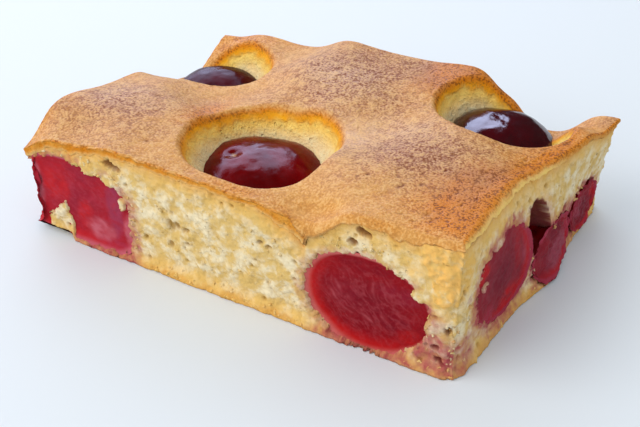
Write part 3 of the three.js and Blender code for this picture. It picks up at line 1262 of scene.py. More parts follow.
@dataclass
class CrumbBody:
    """The body of the slice: cut crumb on its four sides, a flat baked base and a hidden top."""

    columns: tuple[int, int] = (326, 214)
    layers: int = 84
    lid_cells: tuple[int, int] = (44, 30)
    lid_inset: float = 0.016
    lid_drop: float = 1.2
    lid_toast: Ease = Ease(1.5, 0.0)
    lid_tone: float = 0.5
    whole_edge: float = 0.9
    base_inset: float = 0.024
    base_lift: float = 0.2
    corner_reach: float = 2.8
    corner_round: float = 0.85
    corner_wave: Relief = Relief(2.6, 0.8, middle=1.0)
    side_calm: float = 0.35
    tucked: float = 1.1
    tuck_ease: Pair = (0.1, 0.9)
    swell: Relief = Relief(3.6, 0.34)
    fine: Relief = Relief(0.7, 0.10)
    mottle: Relief = Relief(2.4, 0.75, 2, middle=0.4)
    mottle_shift: Triple = (9.0, 5.0, 0.0)
    tuft: Pair = (1.75, 0.27)
    tuft_middle: float = 0.3
    tuft_bend: Pair = (1.1, 0.45)
    tuft_key: float = 11.7
    cleft: Pair = (0.17, 0.13)
    open_crumb: Relief = Relief(5.0)
    open_shift: Triple = (31.0, 0.0, 0.0)
    open_ease: Ease = Ease(-0.35, 0.3)
    closed_cleft: float = 0.3
    pore_cell: float = 1.7
    pore_key: float = 17.3
    pore_share: float = 0.2
    pore_depth: float = 0.55
    pore_size: Pair = (0.20, 0.42)
    pore_core: float = 0.35
    pore_least: float = 0.5
    pocket_depth: float = 1.8
    pocket_edge: Ease = Ease(0.985, 0.90)
    rim_wave: Relief = Relief(1.6, octaves=4)
    frayed: Relief = Relief(0.75, 0.05)
    frayed_by_cover: float = 2.0
    base_strip: Ease = Ease(0.9, 0.3, 0.05)
    bleed_wave: Relief = Relief(1.7, 0.07)
    bleed_reach: float = 0.34
    bleed_core: float = 0.98
    heap: Knots = (
        (-49.5, 0.3), (-48.6, 1), (-44, 5.6), (-41.2, 9), (-40.4, 6), (-39.8, 3), (-39, -1),
    )
    heap_wave: Relief = Relief(1.1, 1.2)
    heap_ease: Ease = Ease(0.6, -0.6)
    cover_out: float = 0.3
    tongue_left: Knots = ((15.2, 38.6), (16.2, 37.3), (19.1, 36.4), (21.2, 35.8), (23.3, 35), (26, 33.6))
    tongue_right: Knots = ((15.2, 39.2), (15.8, 39.8), (17.6, 40.9), (20.2, 41.8), (22.2, 43.5))
    tongue_left_ease: Ease = Ease(-0.7, 0.5)
    tongue_right_ease: Ease = Ease(-0.5, 0.5)
    tongue_tip: Ease = Ease(14.9, 15.9)
    tongue_wobble: Relief = Relief(1.8, 1.1, 4)
    tongue_out: float = 0.4
    tongue_relief: Relief = Relief(1.1, 0.42, 4)
    tongue_calm: float = 0.4
    tongue_gold: Relief = Relief(1.9, middle=0.7)
    tongue_peach: Relief = Relief(1.1, 1.5, middle=0.55)
    dent_wave: Relief = Relief(1.0, 0.3)
    dent_rugged: Relief = Relief(1.8, 0.35, middle=1.0)
    dent_shading: Ease = Ease(0.05, 0.7)
    juice_wave: Relief = Relief(1.2, 0.3)
    juice_ease: Ease = Ease(-0.3, 0.05)
    toast_height: float = 1.7
    toast_flat: float = 0.3
    toast_wave: Relief = Relief(2.6, 0.9, middle=1.0)
    toast_core: float = 0.4
    toast_strength: float = 0.9
    toast_under_crust: Ease = Ease(1.6, 0.0, 0.55)
    toast_hidden: float = 0.8
    gold_wave: Relief = Relief(2.5, 1.5)
    gold_band: Pair = (4.5, 0.5)
    gold_band_right: Ease = Ease(9.0, 0.0, 2.5)
    gold_foot: Ease = Ease(4.5, 1.0, 0.7)
    gold_strength: float = 0.7
    rich_wave: Relief = Relief(1.4, 0.8, middle=0.9)
    hole_shading: float = 0.8
    cleft_shading: float = 0.25
    tuft_highlight: float = 0.4
    stain_most: float = 1.1
    stain_wave: Relief = Relief(1.2, 0.5, middle=0.9)
    golden_spots: tuple[Spot, ...] = spots_on(
        Side.FRONT,
        (41.9, 20.5, (1.9, 7), 0.9), (33.4, 21.6, (2.6, 3.4), 0.5), (38.4, 14.2, (2.4, 2.4), 0.5),
    ) + spots_on(
        Side.RIGHT,
        (-28.6, 22, (3.4, 6.5), 0.9), (-18, 24.4, (11, 2.6), 0.6),
    )
    edge: CrustEdge = CrustEdge()
    fruits: tuple[Fruit, ...] = CUT_FRUITS + WHOLE_FRUITS
    dents: tuple[Dent, ...] = dents_on(
        Side.FRONT,
        (-28.4, 21.3, (2, 0.75), 1.5, -12, 0.5), (3.2, 15.4, (0.65, 0.5), 1.6, 10),
        (4.7, 15, (0.35, 0.25), 0.8), (-12.7, 12.2, (1.1, 0.55), 1.3, 20), (-14.7, 12.3, (0.9, 1), 1.1),
        (-16, 12, (0.8, 1.6), 0.8, 15), (-4.4, 21.3, (0.45, 0.35), 0.7), (-2.1, 21.7, (0.4, 0.3), 0.6),
        (-16.3, 7.6, (0.7, 1.2), 0.7), (23.7, 25.2, (1.5, 0.85), 1.8, -18, 0.55),
        (21.6, 22.5, (1, 0.7), 1, 0, 0.45), (40.2, 10.2, (0.9, 1), 1.3, 20, 0.45),
        (37.9, 6, (0.8, 0.5), 0.9, 10, 0.6), (38.8, 3.3, (1.2, 0.45), 0.8, -30, 0.7),
        (35.6, 14, (0.5, 0.7), 0.8, 0, 0.9),
    ) + dents_on(
        Side.RIGHT,
        (-0.6, 14.2, (3.4, 6.7), 4.6, 14, 0.9), (9.6, 12.9, (0.9, 0.9), 1.2, 0, 0.5),
    ) + dents_on(
        Side.BACK,
        (-18, 9, (0.9, 0.6), 1.1), (9, 14, (0.7, 0.5), 1.2),
    ) + dents_on(
        Side.LEFT,
        (-6, 11, (0.6, 0.8), 1.1), (4, 6, (0.8, 0.5), 0.9),
    )
    spots: tuple[Spot, ...] = spots_on(
        Side.FRONT,
        (39.6, 4, (5.6, 4.4), 1.1), (37.4, 10.4, (3.4, 3.4), 0.4), (40.4, 2.6, (3, 1.8), 0.6),
        (35.6, 13.4, (1.4, 1.6), 0.5), (-32, 0.4, (9, 2.4), 1.3), (25, 0.4, (11, 2), 1),
        (-24.5, 8, (1.6, 9), 0.3),
    ) + spots_on(
        Side.RIGHT,
        (0.6, 12, (5, 8), 0.6), (-27.5, 4, (4.4, 4.6), 0.8), (10, 9.5, (6, 4.6), 0.9),
        (-14, 1.2, (9, 1.6), 0.35), (12, 5.6, (11, 6), 0.9), (-14.5, 20.6, (7, 1.6), 0.55),
        (-23.4, 12, (1.8, 6), 0.5),
    )
    crumb_over_fruit: tuple[Spot, ...] = spots_on(
        Side.FRONT,
        (34.4, 15.7, (1.7, 1.2), 0.4), (-33.8, 19.4, (1.9, 2), 0.6), (31, 19.3, (1.6, 1), 0.15),
        (-29.6, 17.6, (1.8, 1.4), 0.35), (36.6, 9.6, (1, 1.6), 0.25), (-27.4, 12.6, (0.8, 1.5), 0.25),
    ) + spots_on(
        Side.RIGHT,
        (-18.4, 14.6, (1.7, 0.8), 0.35), (-15.6, 20.2, (2.2, 1.2), 0.35), (-20.6, 14, (1.2, 1), 0.3),
    ) + spots_on(
        Side.LEFT,
        (-28.4, 4.4, (2.8, 3.4), 0.7), (-19.6, 16.4, (1.8, 1.6), 0.4), (-23.6, 2.2, (4.4, 0.9), 0.5),
    )
    names: tuple[str, ...] = ("pore", "toast", "stain", "juice", "tone", "gold", "peach")

    def clumps(self, point: Vector) -> tuple[float, float]:
        """Measures the torn clumps of the crumb at a point.

        Args:
            point: The point.

        Returns:
            How far the clump stands out, and how deep in a cleft between clumps the point is.
        """
        shifted = point + self.tuft_bend[1] * noise.noise_vector(point / self.tuft_bend[0])
        distances, middles = noise.voronoi(shifted / self.tuft[0])
        cleft = smooth(self.cleft[0], 0.0, distances[1] - distances[0])
        open_share = self.open_ease.at(self.open_crumb.at(point + Vector(self.open_shift)))
        out = cell_chance(middles[0], self.tuft_key) * (1.0 - distances[0]) * open_share
        return out, cleft * blend(self.closed_cleft, 1.0, open_share)

    def block(self) -> bmesh.types.BMesh:
        """Builds the closed unit block: fine walls, with a coarse lid below and above."""
        bm = bmesh.new()
        centre = Matrix.Translation((0.5, 0.5, 0.0))
        bmesh.ops.create_grid(bm, x_segments=1, y_segments=1, size=0.5, matrix=centre)
        bmesh.ops.delete(bm, geom=bm.faces[:], context="FACES_ONLY")
        for axis, steps in enumerate(self.columns):
            runs = {edge: abs(edge.verts[0].co[axis] - edge.verts[1].co[axis]) for edge in bm.edges}
            whole = [edge for edge, run in runs.items() if run > self.whole_edge]
            bmesh.ops.subdivide_edges(bm, edges=whole, cuts=steps - 1)
        base_ring = bm.edges[:]
        ring = base_ring
        for layer in range(1, self.layers + 1):
            ring = raise_ring(bm, ring, layer / self.layers)
        close_with_lid(bm, ring, Level.TOP_LID, self.lid_cells)
        close_with_lid(bm, base_ring, Level.BASE_LID, self.lid_cells)
        return bm

    def tongue(self, side: Side, point: Vector) -> float:
        """Returns 1 on the smooth tongue of crumb that hangs from the crust beside the corner."""
        if side is not Side.FRONT or point.z < self.tongue_tip.low:
            return 0.0
        wobble = self.tongue_wobble.at(point)
        past_left = point.x + wobble - along_knots(self.tongue_left, point.z)
        past_right = along_knots(self.tongue_right, point.z) - point.x + wobble
        across = self.tongue_left_ease.at(past_left) * self.tongue_right_ease.at(past_right)
        return across * self.tongue_tip.at(point.z)

    def pores(self, point: Vector) -> float:
        """Returns how far an open pore goes in at a point, as a share of its full depth."""
        distances, middles = noise.voronoi(point / self.pore_cell)
        chance = cell_chance(middles[0], self.pore_key)
        if chance > self.pore_share:
            return 0.0
        size = blend(*self.pore_size, chance / self.pore_share)
        depth = blend(self.pore_least, 1.0, chance / self.pore_share)
        return smooth(size, size * self.pore_core, distances[0]) * depth

    def pocket(self, side: Side, point: Vector, along: float) -> tuple[float, float]:
        """Measures a side's point against the cut cherries.

        Args:
            side: The side.
            point: The point, before its relief.
            along: Its place along the side.

        Returns:
            How far the crumb is drawn in, and how strongly it is stained.
        """
        depth = stain = 0.0
        cover = spots_at(self.crumb_over_fruit, side, along, point.z)
        if side is Side.FRONT:
            above = point.z - along_knots(self.heap, point.x) + self.heap_wave.at(point)
            cover += self.heap_ease.at(above)
        frayed = self.frayed.at(point) * (1.0 + self.frayed_by_cover * cover)
        low = self.base_strip.at(point.z)
        for fruit in self.fruits:
            if side not in fruit.cut_by:
                continue
            near = fruit.inside(point) + fruit.ragged * self.rim_wave.at(point) + cover
            near += frayed * min(fruit.ragged / CLEAN_RIM, 1.0) + low
            depth = max(depth, self.pocket_depth * self.pocket_edge.at(near))
            far = near + self.bleed_wave.at(point)
            reach = 1.0 + self.bleed_reach * fruit.bleed
            stain = max(stain, fruit.bleed * smooth(reach, self.bleed_core, far))
        return depth, stain

    def hollow(self, side: Side, point: Vector, along: float, height: float) -> tuple[float, float, float]:
        """Measures a side's point against the holes and hollows of its crumb.

        Args:
            side: The side.
            point: The point, before its relief.
            along: Its place along the side.
            height: Its height.

        Returns:
            How far the crumb is drawn in, how juicy it is there, and how strongly painted shade darkens it.
        """
        depth = juice = dark = 0.0
        for dent in self.dents:
            if dent.side is side:
                share_in = dent.share(along, height + self.dent_wave.at(point))
                rugged = dent.depth * self.dent_rugged.at(point)
                depth = max(depth, rugged * math.sqrt(max(share_in, 0.0)))
                wet = self.juice_ease.at(share_in + self.juice_wave.at(point))
                juice = max(juice, dent.juicy * wet)
                dark = max(dark, self.dent_shading.at(share_in))
        return depth, juice, dark

    def golden(self, side: Side, point: Vector, along: float, height: float, under: float) -> float:
        """Works out how golden the crumb is, under the crust, at the foot and in its golden spots.

        Args:
            side: The side.
            point: The point with its relief.
            along: Its place along the side.
            height: Its height before its relief.
            under: How far it lies under the crust's layer.

        Returns:
            The share of gold.
        """
        band = self.gold_band[0]
        if side is Side.RIGHT:
            band += self.gold_band_right.at(along)
        gold = self.gold_strength * smooth(band, self.gold_band[1], under + self.gold_wave.at(point))
        gold += self.gold_foot.at(height)
        return max(gold, spots_at(self.golden_spots, side, along, height) * self.rich_wave.at(point))

    def wall_point(self, u: float, v: float, share: float) -> tuple[Vector, dict[str, float]]:
        """Finds a point of a cut side with its relief and its masks.

        Args:
            u: Share along the slice.
            v: Share across it.
            share: Share of the way up the wall.

        Returns:
            The point and its masks.
        """
        side = side_of(u, v)
        crust = CAKE.crust_height(*CAKE.bowed_plan(u, v, 1.0))
        x, y = CAKE.bowed_plan(u, v, share)
        height = blend(self.base_lift + CAKE.underside(x, y), crust - self.tucked, share)
        point = Vector((x, y, height))
        along = place_along(side, x, y)
        facing, corner = outward(u, v, self.corner_reach)
        tongue = self.tongue(side, point)
        pore = self.pores(point) * (1.0 - tongue)
        clump, cleft = (value * (1.0 - self.tongue_calm * tongue) for value in self.clumps(point))
        hollow, juice, dark = self.hollow(side, point, along, height)
        pocket, stain = self.pocket(side, point, along)
        relief = self.swell.at(point) + self.fine.at(point)
        relief += self.tuft[1] * (clump - self.tuft_middle) - self.cleft[1] * cleft
        relief += self.tongue_out * tongue
        relief *= 1.0 - self.side_calm * float(side is Side.RIGHT)
        relief += tongue * self.tongue_relief.at(point) - self.pore_depth * pore
        relief -= self.corner_round * corner * self.corner_wave.at(point)
        relief += CAKE.lip_out(height) * (1.0 - pocket / self.pocket_depth)
        relief += self.cover_out * spots_at(self.crumb_over_fruit, side, along, height)
        edge_base = crust - self.edge.thickness(side, point)
        low, high = self.tuck_ease
        tuck = self.tucked * smooth(edge_base + low, edge_base + high, height)
        ragged = self.toast_height * self.toast_wave.at(Vector((x, y, self.toast_flat * height)))
        toast = self.toast_strength * smooth(ragged, ragged * self.toast_core, height)
        toast += self.toast_under_crust.at(edge_base - height)
        point += facing * (relief - hollow - pocket - tuck)
        blotch = spots_at(self.spots, side, along, height)
        gold = self.golden(side, point, along, height, edge_base - height)
        mottle = self.mottle.at(point + Vector(self.mottle_shift))
        return point, {
            # Painted shade in pores, dents and the clefts between clumps.
            "pore": self.hole_shading * max(pore, dark) + self.cleft_shading * cleft,
            "toast": toast * (1.0 - tongue) * (1.0 - self.toast_hidden * min(blotch, 1.0)),
            "gold": max(gold, tongue * self.tongue_gold.at(point)),
            "peach": tongue * self.tongue_peach.at(point),
            # Painted highlight: clumps that stand out are paler, on top of the random mottle.
            "tone": self.tuft_highlight * clump + mottle,
            "juice": juice,
            "stain": min(stain + blotch, self.stain_most) * self.stain_wave.at(point) * (1.0 - tongue),
        }

    def lid_point(self, u: float, v: float, level: float) -> Vector:
        """Returns a point of the flat base or of the hidden top."""
        inset = self.base_inset if level == Level.BASE_LID else self.lid_inset
        u, v = (min(max(value, inset), 1.0 - inset) for value in (u, v))
        if level == Level.BASE_LID:
            x, y = CAKE.bowed_plan(u, v, 0.0)
            return Vector((x, y, CAKE.underside(x, y)))
        x, y = CAKE.bowed_plan(u, v, 1.0)
        return Vector((x, y, clear_of_top(x, y, self.lid_drop)))

    def build(self, finish: bpy.types.Material) -> bpy.types.Object:
        """Builds the piece."""
        bm = self.block()
        masks = Masks(bm, self.names)
        for vert in bm.verts:
            u, v, level = vert.co
            if 0.0 <= level <= 1.0:
                vert.co, values = self.wall_point(u, v, level)
                masks.write(vert, values)
            else:
                vert.co = self.lid_point(u, v, level)
                masks.write(vert, {"toast": self.lid_toast.at(vert.co.z), "tone": self.lid_tone})
        return make_piece(bm, "crumb_body", [finish], [SPONGE_NODE])


@dataclass
class CrustCap:
    """The baked top of the slice with its pits, and the layer's edge on the cut sides."""

    cells: tuple[int, int] = (226, 148)
    steep: float = 0.75
    rings: int = 14
    ring_power: float = 1.5
    lid_cells: tuple[int, int] = (56, 36)
    lid_inset: float = 0.014
    lid_drop: float = 0.9
    corner_reach: float = 1.6
    flare: Ease = Ease(1.0, 0.0, 0.15)
    skin_waves: tuple[Relief, ...] = (Relief(1.6, 0.07), Relief(0.7, 0.035))
    wall_depth: Ease = Ease(1.6, 3.2)
    wall_wave: Relief = Relief(2.2, 0.9)
    wall_waves: tuple[Relief, ...] = (Relief(2.2, 0.30), Relief(0.8, 0.12))
    deep: Ease = Ease(3.0, 6.5)
    pinhole_count: int = 46
    pinhole_along: Pair = (0.07, 0.93)
    pinhole_across: Pair = (0.1, 0.9)
    pinhole_size: Pair = (0.2, 0.38)
    pinhole_wall: float = 0.5
    pinhole_core: float = 0.35
    pinhole_wide: float = 0.5
    # Painted shade in the pinholes: strong in small ones, weaker in wide ones.
    pinhole_shade: Pair = (0.95, 0.45)
    pinhole_depth: Pair = (0.45, 0.7)
    brown_wave: Relief = Relief(6.0, 0.25)
    brown_rim: Ease = Ease(0.15, 1.4, 0.9)
    orange_wave: Relief = Relief(5.0, 0.25)
    orange_rim: Ease = Ease(0.15, 1.0, 0.8)
    # Painted sheen: how patchy it is, and how it fades out down into the pits.
    sheen_wave: Relief = Relief(3.0, 0.5, middle=1.0)
    sheen_rim: Ease = Ease(1.0, 0.2)
    # The ochre band just below the pit rims: baked colour, and partly painted shade of the rolled-over rim.
    ochre_from: Ease = Ease(0.7, 1.9)
    ochre_to: Ease = Ease(4.6, 2.4)
    ochre_wave: Relief = Relief(2.5, 0.5, middle=0.72)
    tucked_in: Ease = Ease(0.8, 1.0, 0.6)
    edge_orange: Relief = Relief(1.5, 0.6, middle=0.5)
    edge_torn: Ease = Ease(0.1, 0.5)
    edge_tufts: Relief = Relief(1.2, 0.35)
    edge_wall: Ease = Ease(0.55, 1.0, 0.8)
    edge_deep: float = 0.5
    flap_wall: Ease = Ease(0.8, 1.0, 0.35)
    flap_orange_lost: float = 0.7
    crack_from: Ease = Ease(0.7, 0.95, 0.75)
    crack_start: Ease = Ease(31.5, 33.0)
    crack_wave: Relief = Relief(2.5)
    crack_gaps: Ease = Ease(-0.3, 0.2)
    crease_width: Ease = Ease(0.5, 0.05, 0.6)
    crease_depth: Ease = Ease(5.2, 4.0)
    right_torn_from: Ease = Ease(4.0, 12.0, 0.5)
    right_gold_below: Ease = Ease(0.15, 0.7)
    right_gold_wave: Relief = Relief(1.6, 0.25)
    right_gold_to: Ease = Ease(12.0, 2.0)
    right_orange: Ease = Ease(0.7, 0.0, 0.9)
    right_wall: Ease = Ease(0.75, 1.0, 0.5)
    edge: CrustEdge = CrustEdge()
    pinholes: tuple[Triple, ...] = (
        (28.3, -26.1, 0.62), (32.3, -23.6, 0.75), (31, -27.4, 0.6), (33.9, -24.7, 0.5), (39.1, -16, 0.45),
        (18.5, -18, 0.42), (25.1, -18.2, 0.48), (27.9, -16.5, 0.45), (40, 2.1, 0.8), (6, 4, 0.5),
        (23.3, -16.2, 0.4), (29.9, -10.5, 0.45), (36.3, -7.4, 0.45), (36.5, -18.8, 0.42), (34.1, -16, 0.4),
        (-37, -12, 0.4), (-24, -24, 0.45), (12, 18, 0.5), (20, -5, 0.35),
    )
    brown_patches: tuple[Patch, ...] = (
        Patch((-37, -15), (13, 12), 0.85), Patch((-1, 15), (15, 15), 1),
        Patch((23, -7), (14.5, 11), 1.05), Patch((8, 27), (10, 6), 0.4),
        Patch((-20, -28), (16, 3), 0.25), Patch((36, -12), (6, 6), 0.2),
        Patch((48, 29), (4, 4), 0.5), Patch((10, -2), (5, 6), -0.45),
    )
    orange_patches: tuple[Patch, ...] = (
        Patch((38, -17), (9, 13), 1.5), Patch((44, 8), (5, 18), 1),
        Patch((19, 24), (11, 9), 1.6), Patch((28, 30), (8, 6), 1),
        Patch((-34, 26), (9, 5), 0.7), Patch((-21, -8), (4, 8), 0.8),
        Patch((-2, -29), (14, 2.5), 0.35), Patch((-47, -20), (5, 12), 0.3),
    )
    # Where the painted sheen lies: the dome tops turned towards the window light.
    sheen_patches: tuple[Patch, ...] = (
        Patch((9, -5), (6, 8), 0.45), Patch((18, 1), (7, 4), 0.25),
        Patch((-4, 12), (8, 6), 0.35), Patch((-37, -11), (8, 6), 0.15),
    )
    names: tuple[str, ...] = ("brown", "orange", "painted_sheen", "torn", "ochre", "wall", "deep", "crack", "gold")

    def block(self) -> bmesh.types.BMesh:
        """Builds the closed unit sheet: a fine top, its edge in rings and a coarse underside."""
        bm = bmesh.new()
        centre = Matrix.Translation((0.5, 0.5, 0.0))
        bmesh.ops.create_grid(bm, x_segments=self.cells[0], y_segments=self.cells[1], size=0.5, matrix=centre)
        heights = {vert: CAKE.top(*CAKE.bowed_plan(vert.co.x, vert.co.y, 1.0)) for vert in bm.verts}
        rises = {edge: abs(heights[edge.verts[0]] - heights[edge.verts[1]]) for edge in bm.edges}
        steep = [edge for edge, rise in rises.items() if rise > self.steep]
        bmesh.ops.subdivide_edges(bm, edges=steep, cuts=2, use_grid_fill=True)
        ring = [edge for edge in bm.edges if edge.is_boundary]
        for step in range(1, self.rings + 1):
            ring = raise_ring(bm, ring, step / self.rings)
        close_with_lid(bm, ring, Level.TOP_LID, self.lid_cells)
        return bm

    def scattered_pinholes(self) -> list[Triple]:
        """Returns the named pinholes and a seeded scatter of small ones over the crust."""
        draw = random.Random(SEED)
        made = list(self.pinholes)
        for _ in range(self.pinhole_count):
            x, y = CAKE.plan(draw.uniform(*self.pinhole_along), draw.uniform(*self.pinhole_across), 1.0)
            made.append((x, y, draw.uniform(*self.pinhole_size)))
        return made

    def pricked(self, x: float, y: float, holes: list[Triple]) -> tuple[float, float]:
        """Measures a point of the crust against the pinholes.

        Args:
            x: Place along the slice in millimetres.
            y: Place across it.
            holes: Place and radius of each pinhole.

        Returns:
            How far the crust dips there, and how strongly painted shade darkens the hole.
        """
        dip = dark = 0.0
        for hole_x, hole_y, radius in holes:
            if abs(x - hole_x) < radius and abs(y - hole_y) < radius:
                far = math.hypot(x - hole_x, y - hole_y)
                near = smooth(radius, radius * self.pinhole_core, far)
                dark = max(dark, near * self.pinhole_shade[radius >= self.pinhole_wide])
                dip += self.pinhole_depth[0] * min(radius, self.pinhole_depth[1]) * near
        return dip, dark

    def top_point(self, u: float, v: float, holes: list[Triple]) -> tuple[Vector, dict[str, float]]:
        """Finds a point of the open surface with its masks.

        Args:
            u: Share along the slice.
            v: Share across it.
            holes: Place and radius of each pinhole.

        Returns:
            The point and its masks.
        """
        x, y = CAKE.bowed_plan(u, v, 1.0)
        height = CAKE.top(x, y)
        down = CAKE.crust_height(x, y) - height
        point = Vector((x, y, height)) + self.edge.rolled_in(u, v, 0.0)
        point += outward(u, v, self.corner_reach)[0] * self.flare.at(min(side_gaps(u, v).values()))
        wall = self.wall_depth.at(down + self.wall_wave.at(point))
        point.z += sum(wave.at(point) for wave in self.skin_waves) * (1.0 - wall)
        pricked = 0.0
        if wall < self.pinhole_wall:
            dip, pricked = self.pricked(x, y, holes)
            point.z -= dip
        if wall > 0.0:
            pit = min(CAKE.pits, key=lambda item: item.reach(x, y))
            radial = Vector((x - pit.at[0], y - pit.at[1], 0.0)).normalized()
            point += radial * wall * sum(wave.at(point) for wave in self.wall_waves)
        brown = patches_at(self.brown_patches, x, y) + self.brown_wave.at(Vector((x, y, Plane.BROWN)))
        orange = patches_at(self.orange_patches, x, y) + self.orange_wave.at(Vector((x, y, Plane.ORANGE)))
        # Painted sheen, patchy, only on the open top.
        painted_sheen = patches_at(self.sheen_patches, x, y) * self.sheen_wave.at(Vector((x, y, Plane.SHEEN)))
        return point, {
            "brown": brown - self.brown_rim.at(down),
            "orange": orange + self.orange_rim.at(down),
            "painted_sheen": painted_sheen * self.sheen_rim.at(down),
            "ochre": self.ochre_from.at(down) * self.ochre_to.at(down) * self.ochre_wave.at(point),
            "wall": wall,
            "deep": self.deep.at(down),
            # Painted shade in the pinholes.
            "crack": pricked,
        }

    def edge_point(self, u: float, v: float, step: float) -> tuple[Vector, dict[str, float]]:
        """Finds a point of the layer's edge on a cut side with its masks.

        Args:
            u: Share along the slice.
            v: Share across it.
            step: Which ring, from 0 at the top to 1 at the layer's lower edge.

        Returns:
            The point and its masks.
        """
        side = side_of(u, v)
        x, y = CAKE.bowed_plan(u, v, 1.0)
        crust = CAKE.crust_height(x, y)
        top = Vector((x, y, crust))
        share = step ** self.ring_power
        depth = share * self.edge.thickness(side, top)
        x, y = CAKE.bowed_plan(u, v, 1.0 - depth / crust)
        facing = outward(u, v, self.corner_reach)[0]
        out = self.edge.out(side, top, share, depth) - self.tucked_in.at(step)
        point = Vector((x, y, crust - depth)) + facing * out
        point += self.edge.rolled_in(u, v, depth)
        tufts = max(self.edge_tufts.at(point), 0.0)
        masks = {
            "brown": 0.0,
            "orange": self.edge_orange.at(point),
            "painted_sheen": 0.0,
            "torn": self.edge_torn.at(depth) - tufts,
            "wall": self.edge_wall.at(step),
            "deep": self.edge_deep,
            "crack": 0.0,
            "gold": 0.0,
        }
        if side is Side.FRONT:
            behind = self.edge.behind_crease(x, depth)
            # Painted shade along the crack under the crust near the corner, and along the flap's crease.
            cracked = self.crack_from.at(step) * self.crack_start.at(x)
            cracked *= self.crack_gaps.at(self.crack_wave.at(point))
            crease = self.crease_width.at(abs(x - self.edge.crease(depth)))
            crease *= self.crease_depth.at(depth)
            masks["torn"] *= 1.0 - behind
            masks["orange"] *= 1.0 - self.flap_orange_lost * behind
            masks["wall"] = blend(masks["wall"], self.flap_wall.at(step), behind)
            masks["crack"] = max(cracked, crease)
        if side is Side.RIGHT:
            masks["torn"] *= self.right_torn_from.at(y)
            golden = self.right_gold_below.at(share + self.right_gold_wave.at(point))
            masks["gold"] = golden * self.right_gold_to.at(y)
            masks["orange"] = self.right_orange.at(share)
            masks["wall"] = self.right_wall.at(step)
        return point, masks

    def lid_point(self, u: float, v: float) -> Vector:
        """Returns a point of the hidden underside."""
        u, v = (min(max(value, self.lid_inset), 1.0 - self.lid_inset) for value in (u, v))
        x, y = CAKE.bowed_plan(u, v, 1.0)
        return Vector((x, y, clear_of_top(x, y, self.lid_drop)))

    def build(self, finish: bpy.types.Material) -> bpy.types.Object:
        """Builds the piece."""
        bm = self.block()
        masks = Masks(bm, self.names)
        holes = self.scattered_pinholes()
        for vert in bm.verts:
            u, v, level = vert.co
            if level == Level.TOP_LID:
                vert.co = self.lid_point(u, v)
                continue
            vert.co, values = self.top_point(u, v, holes) if level < WELD else self.edge_point(u, v, level)
            masks.write(vert, values)
        return make_piece(bm, "crust_cap", [finish], [SPONGE_NODE])


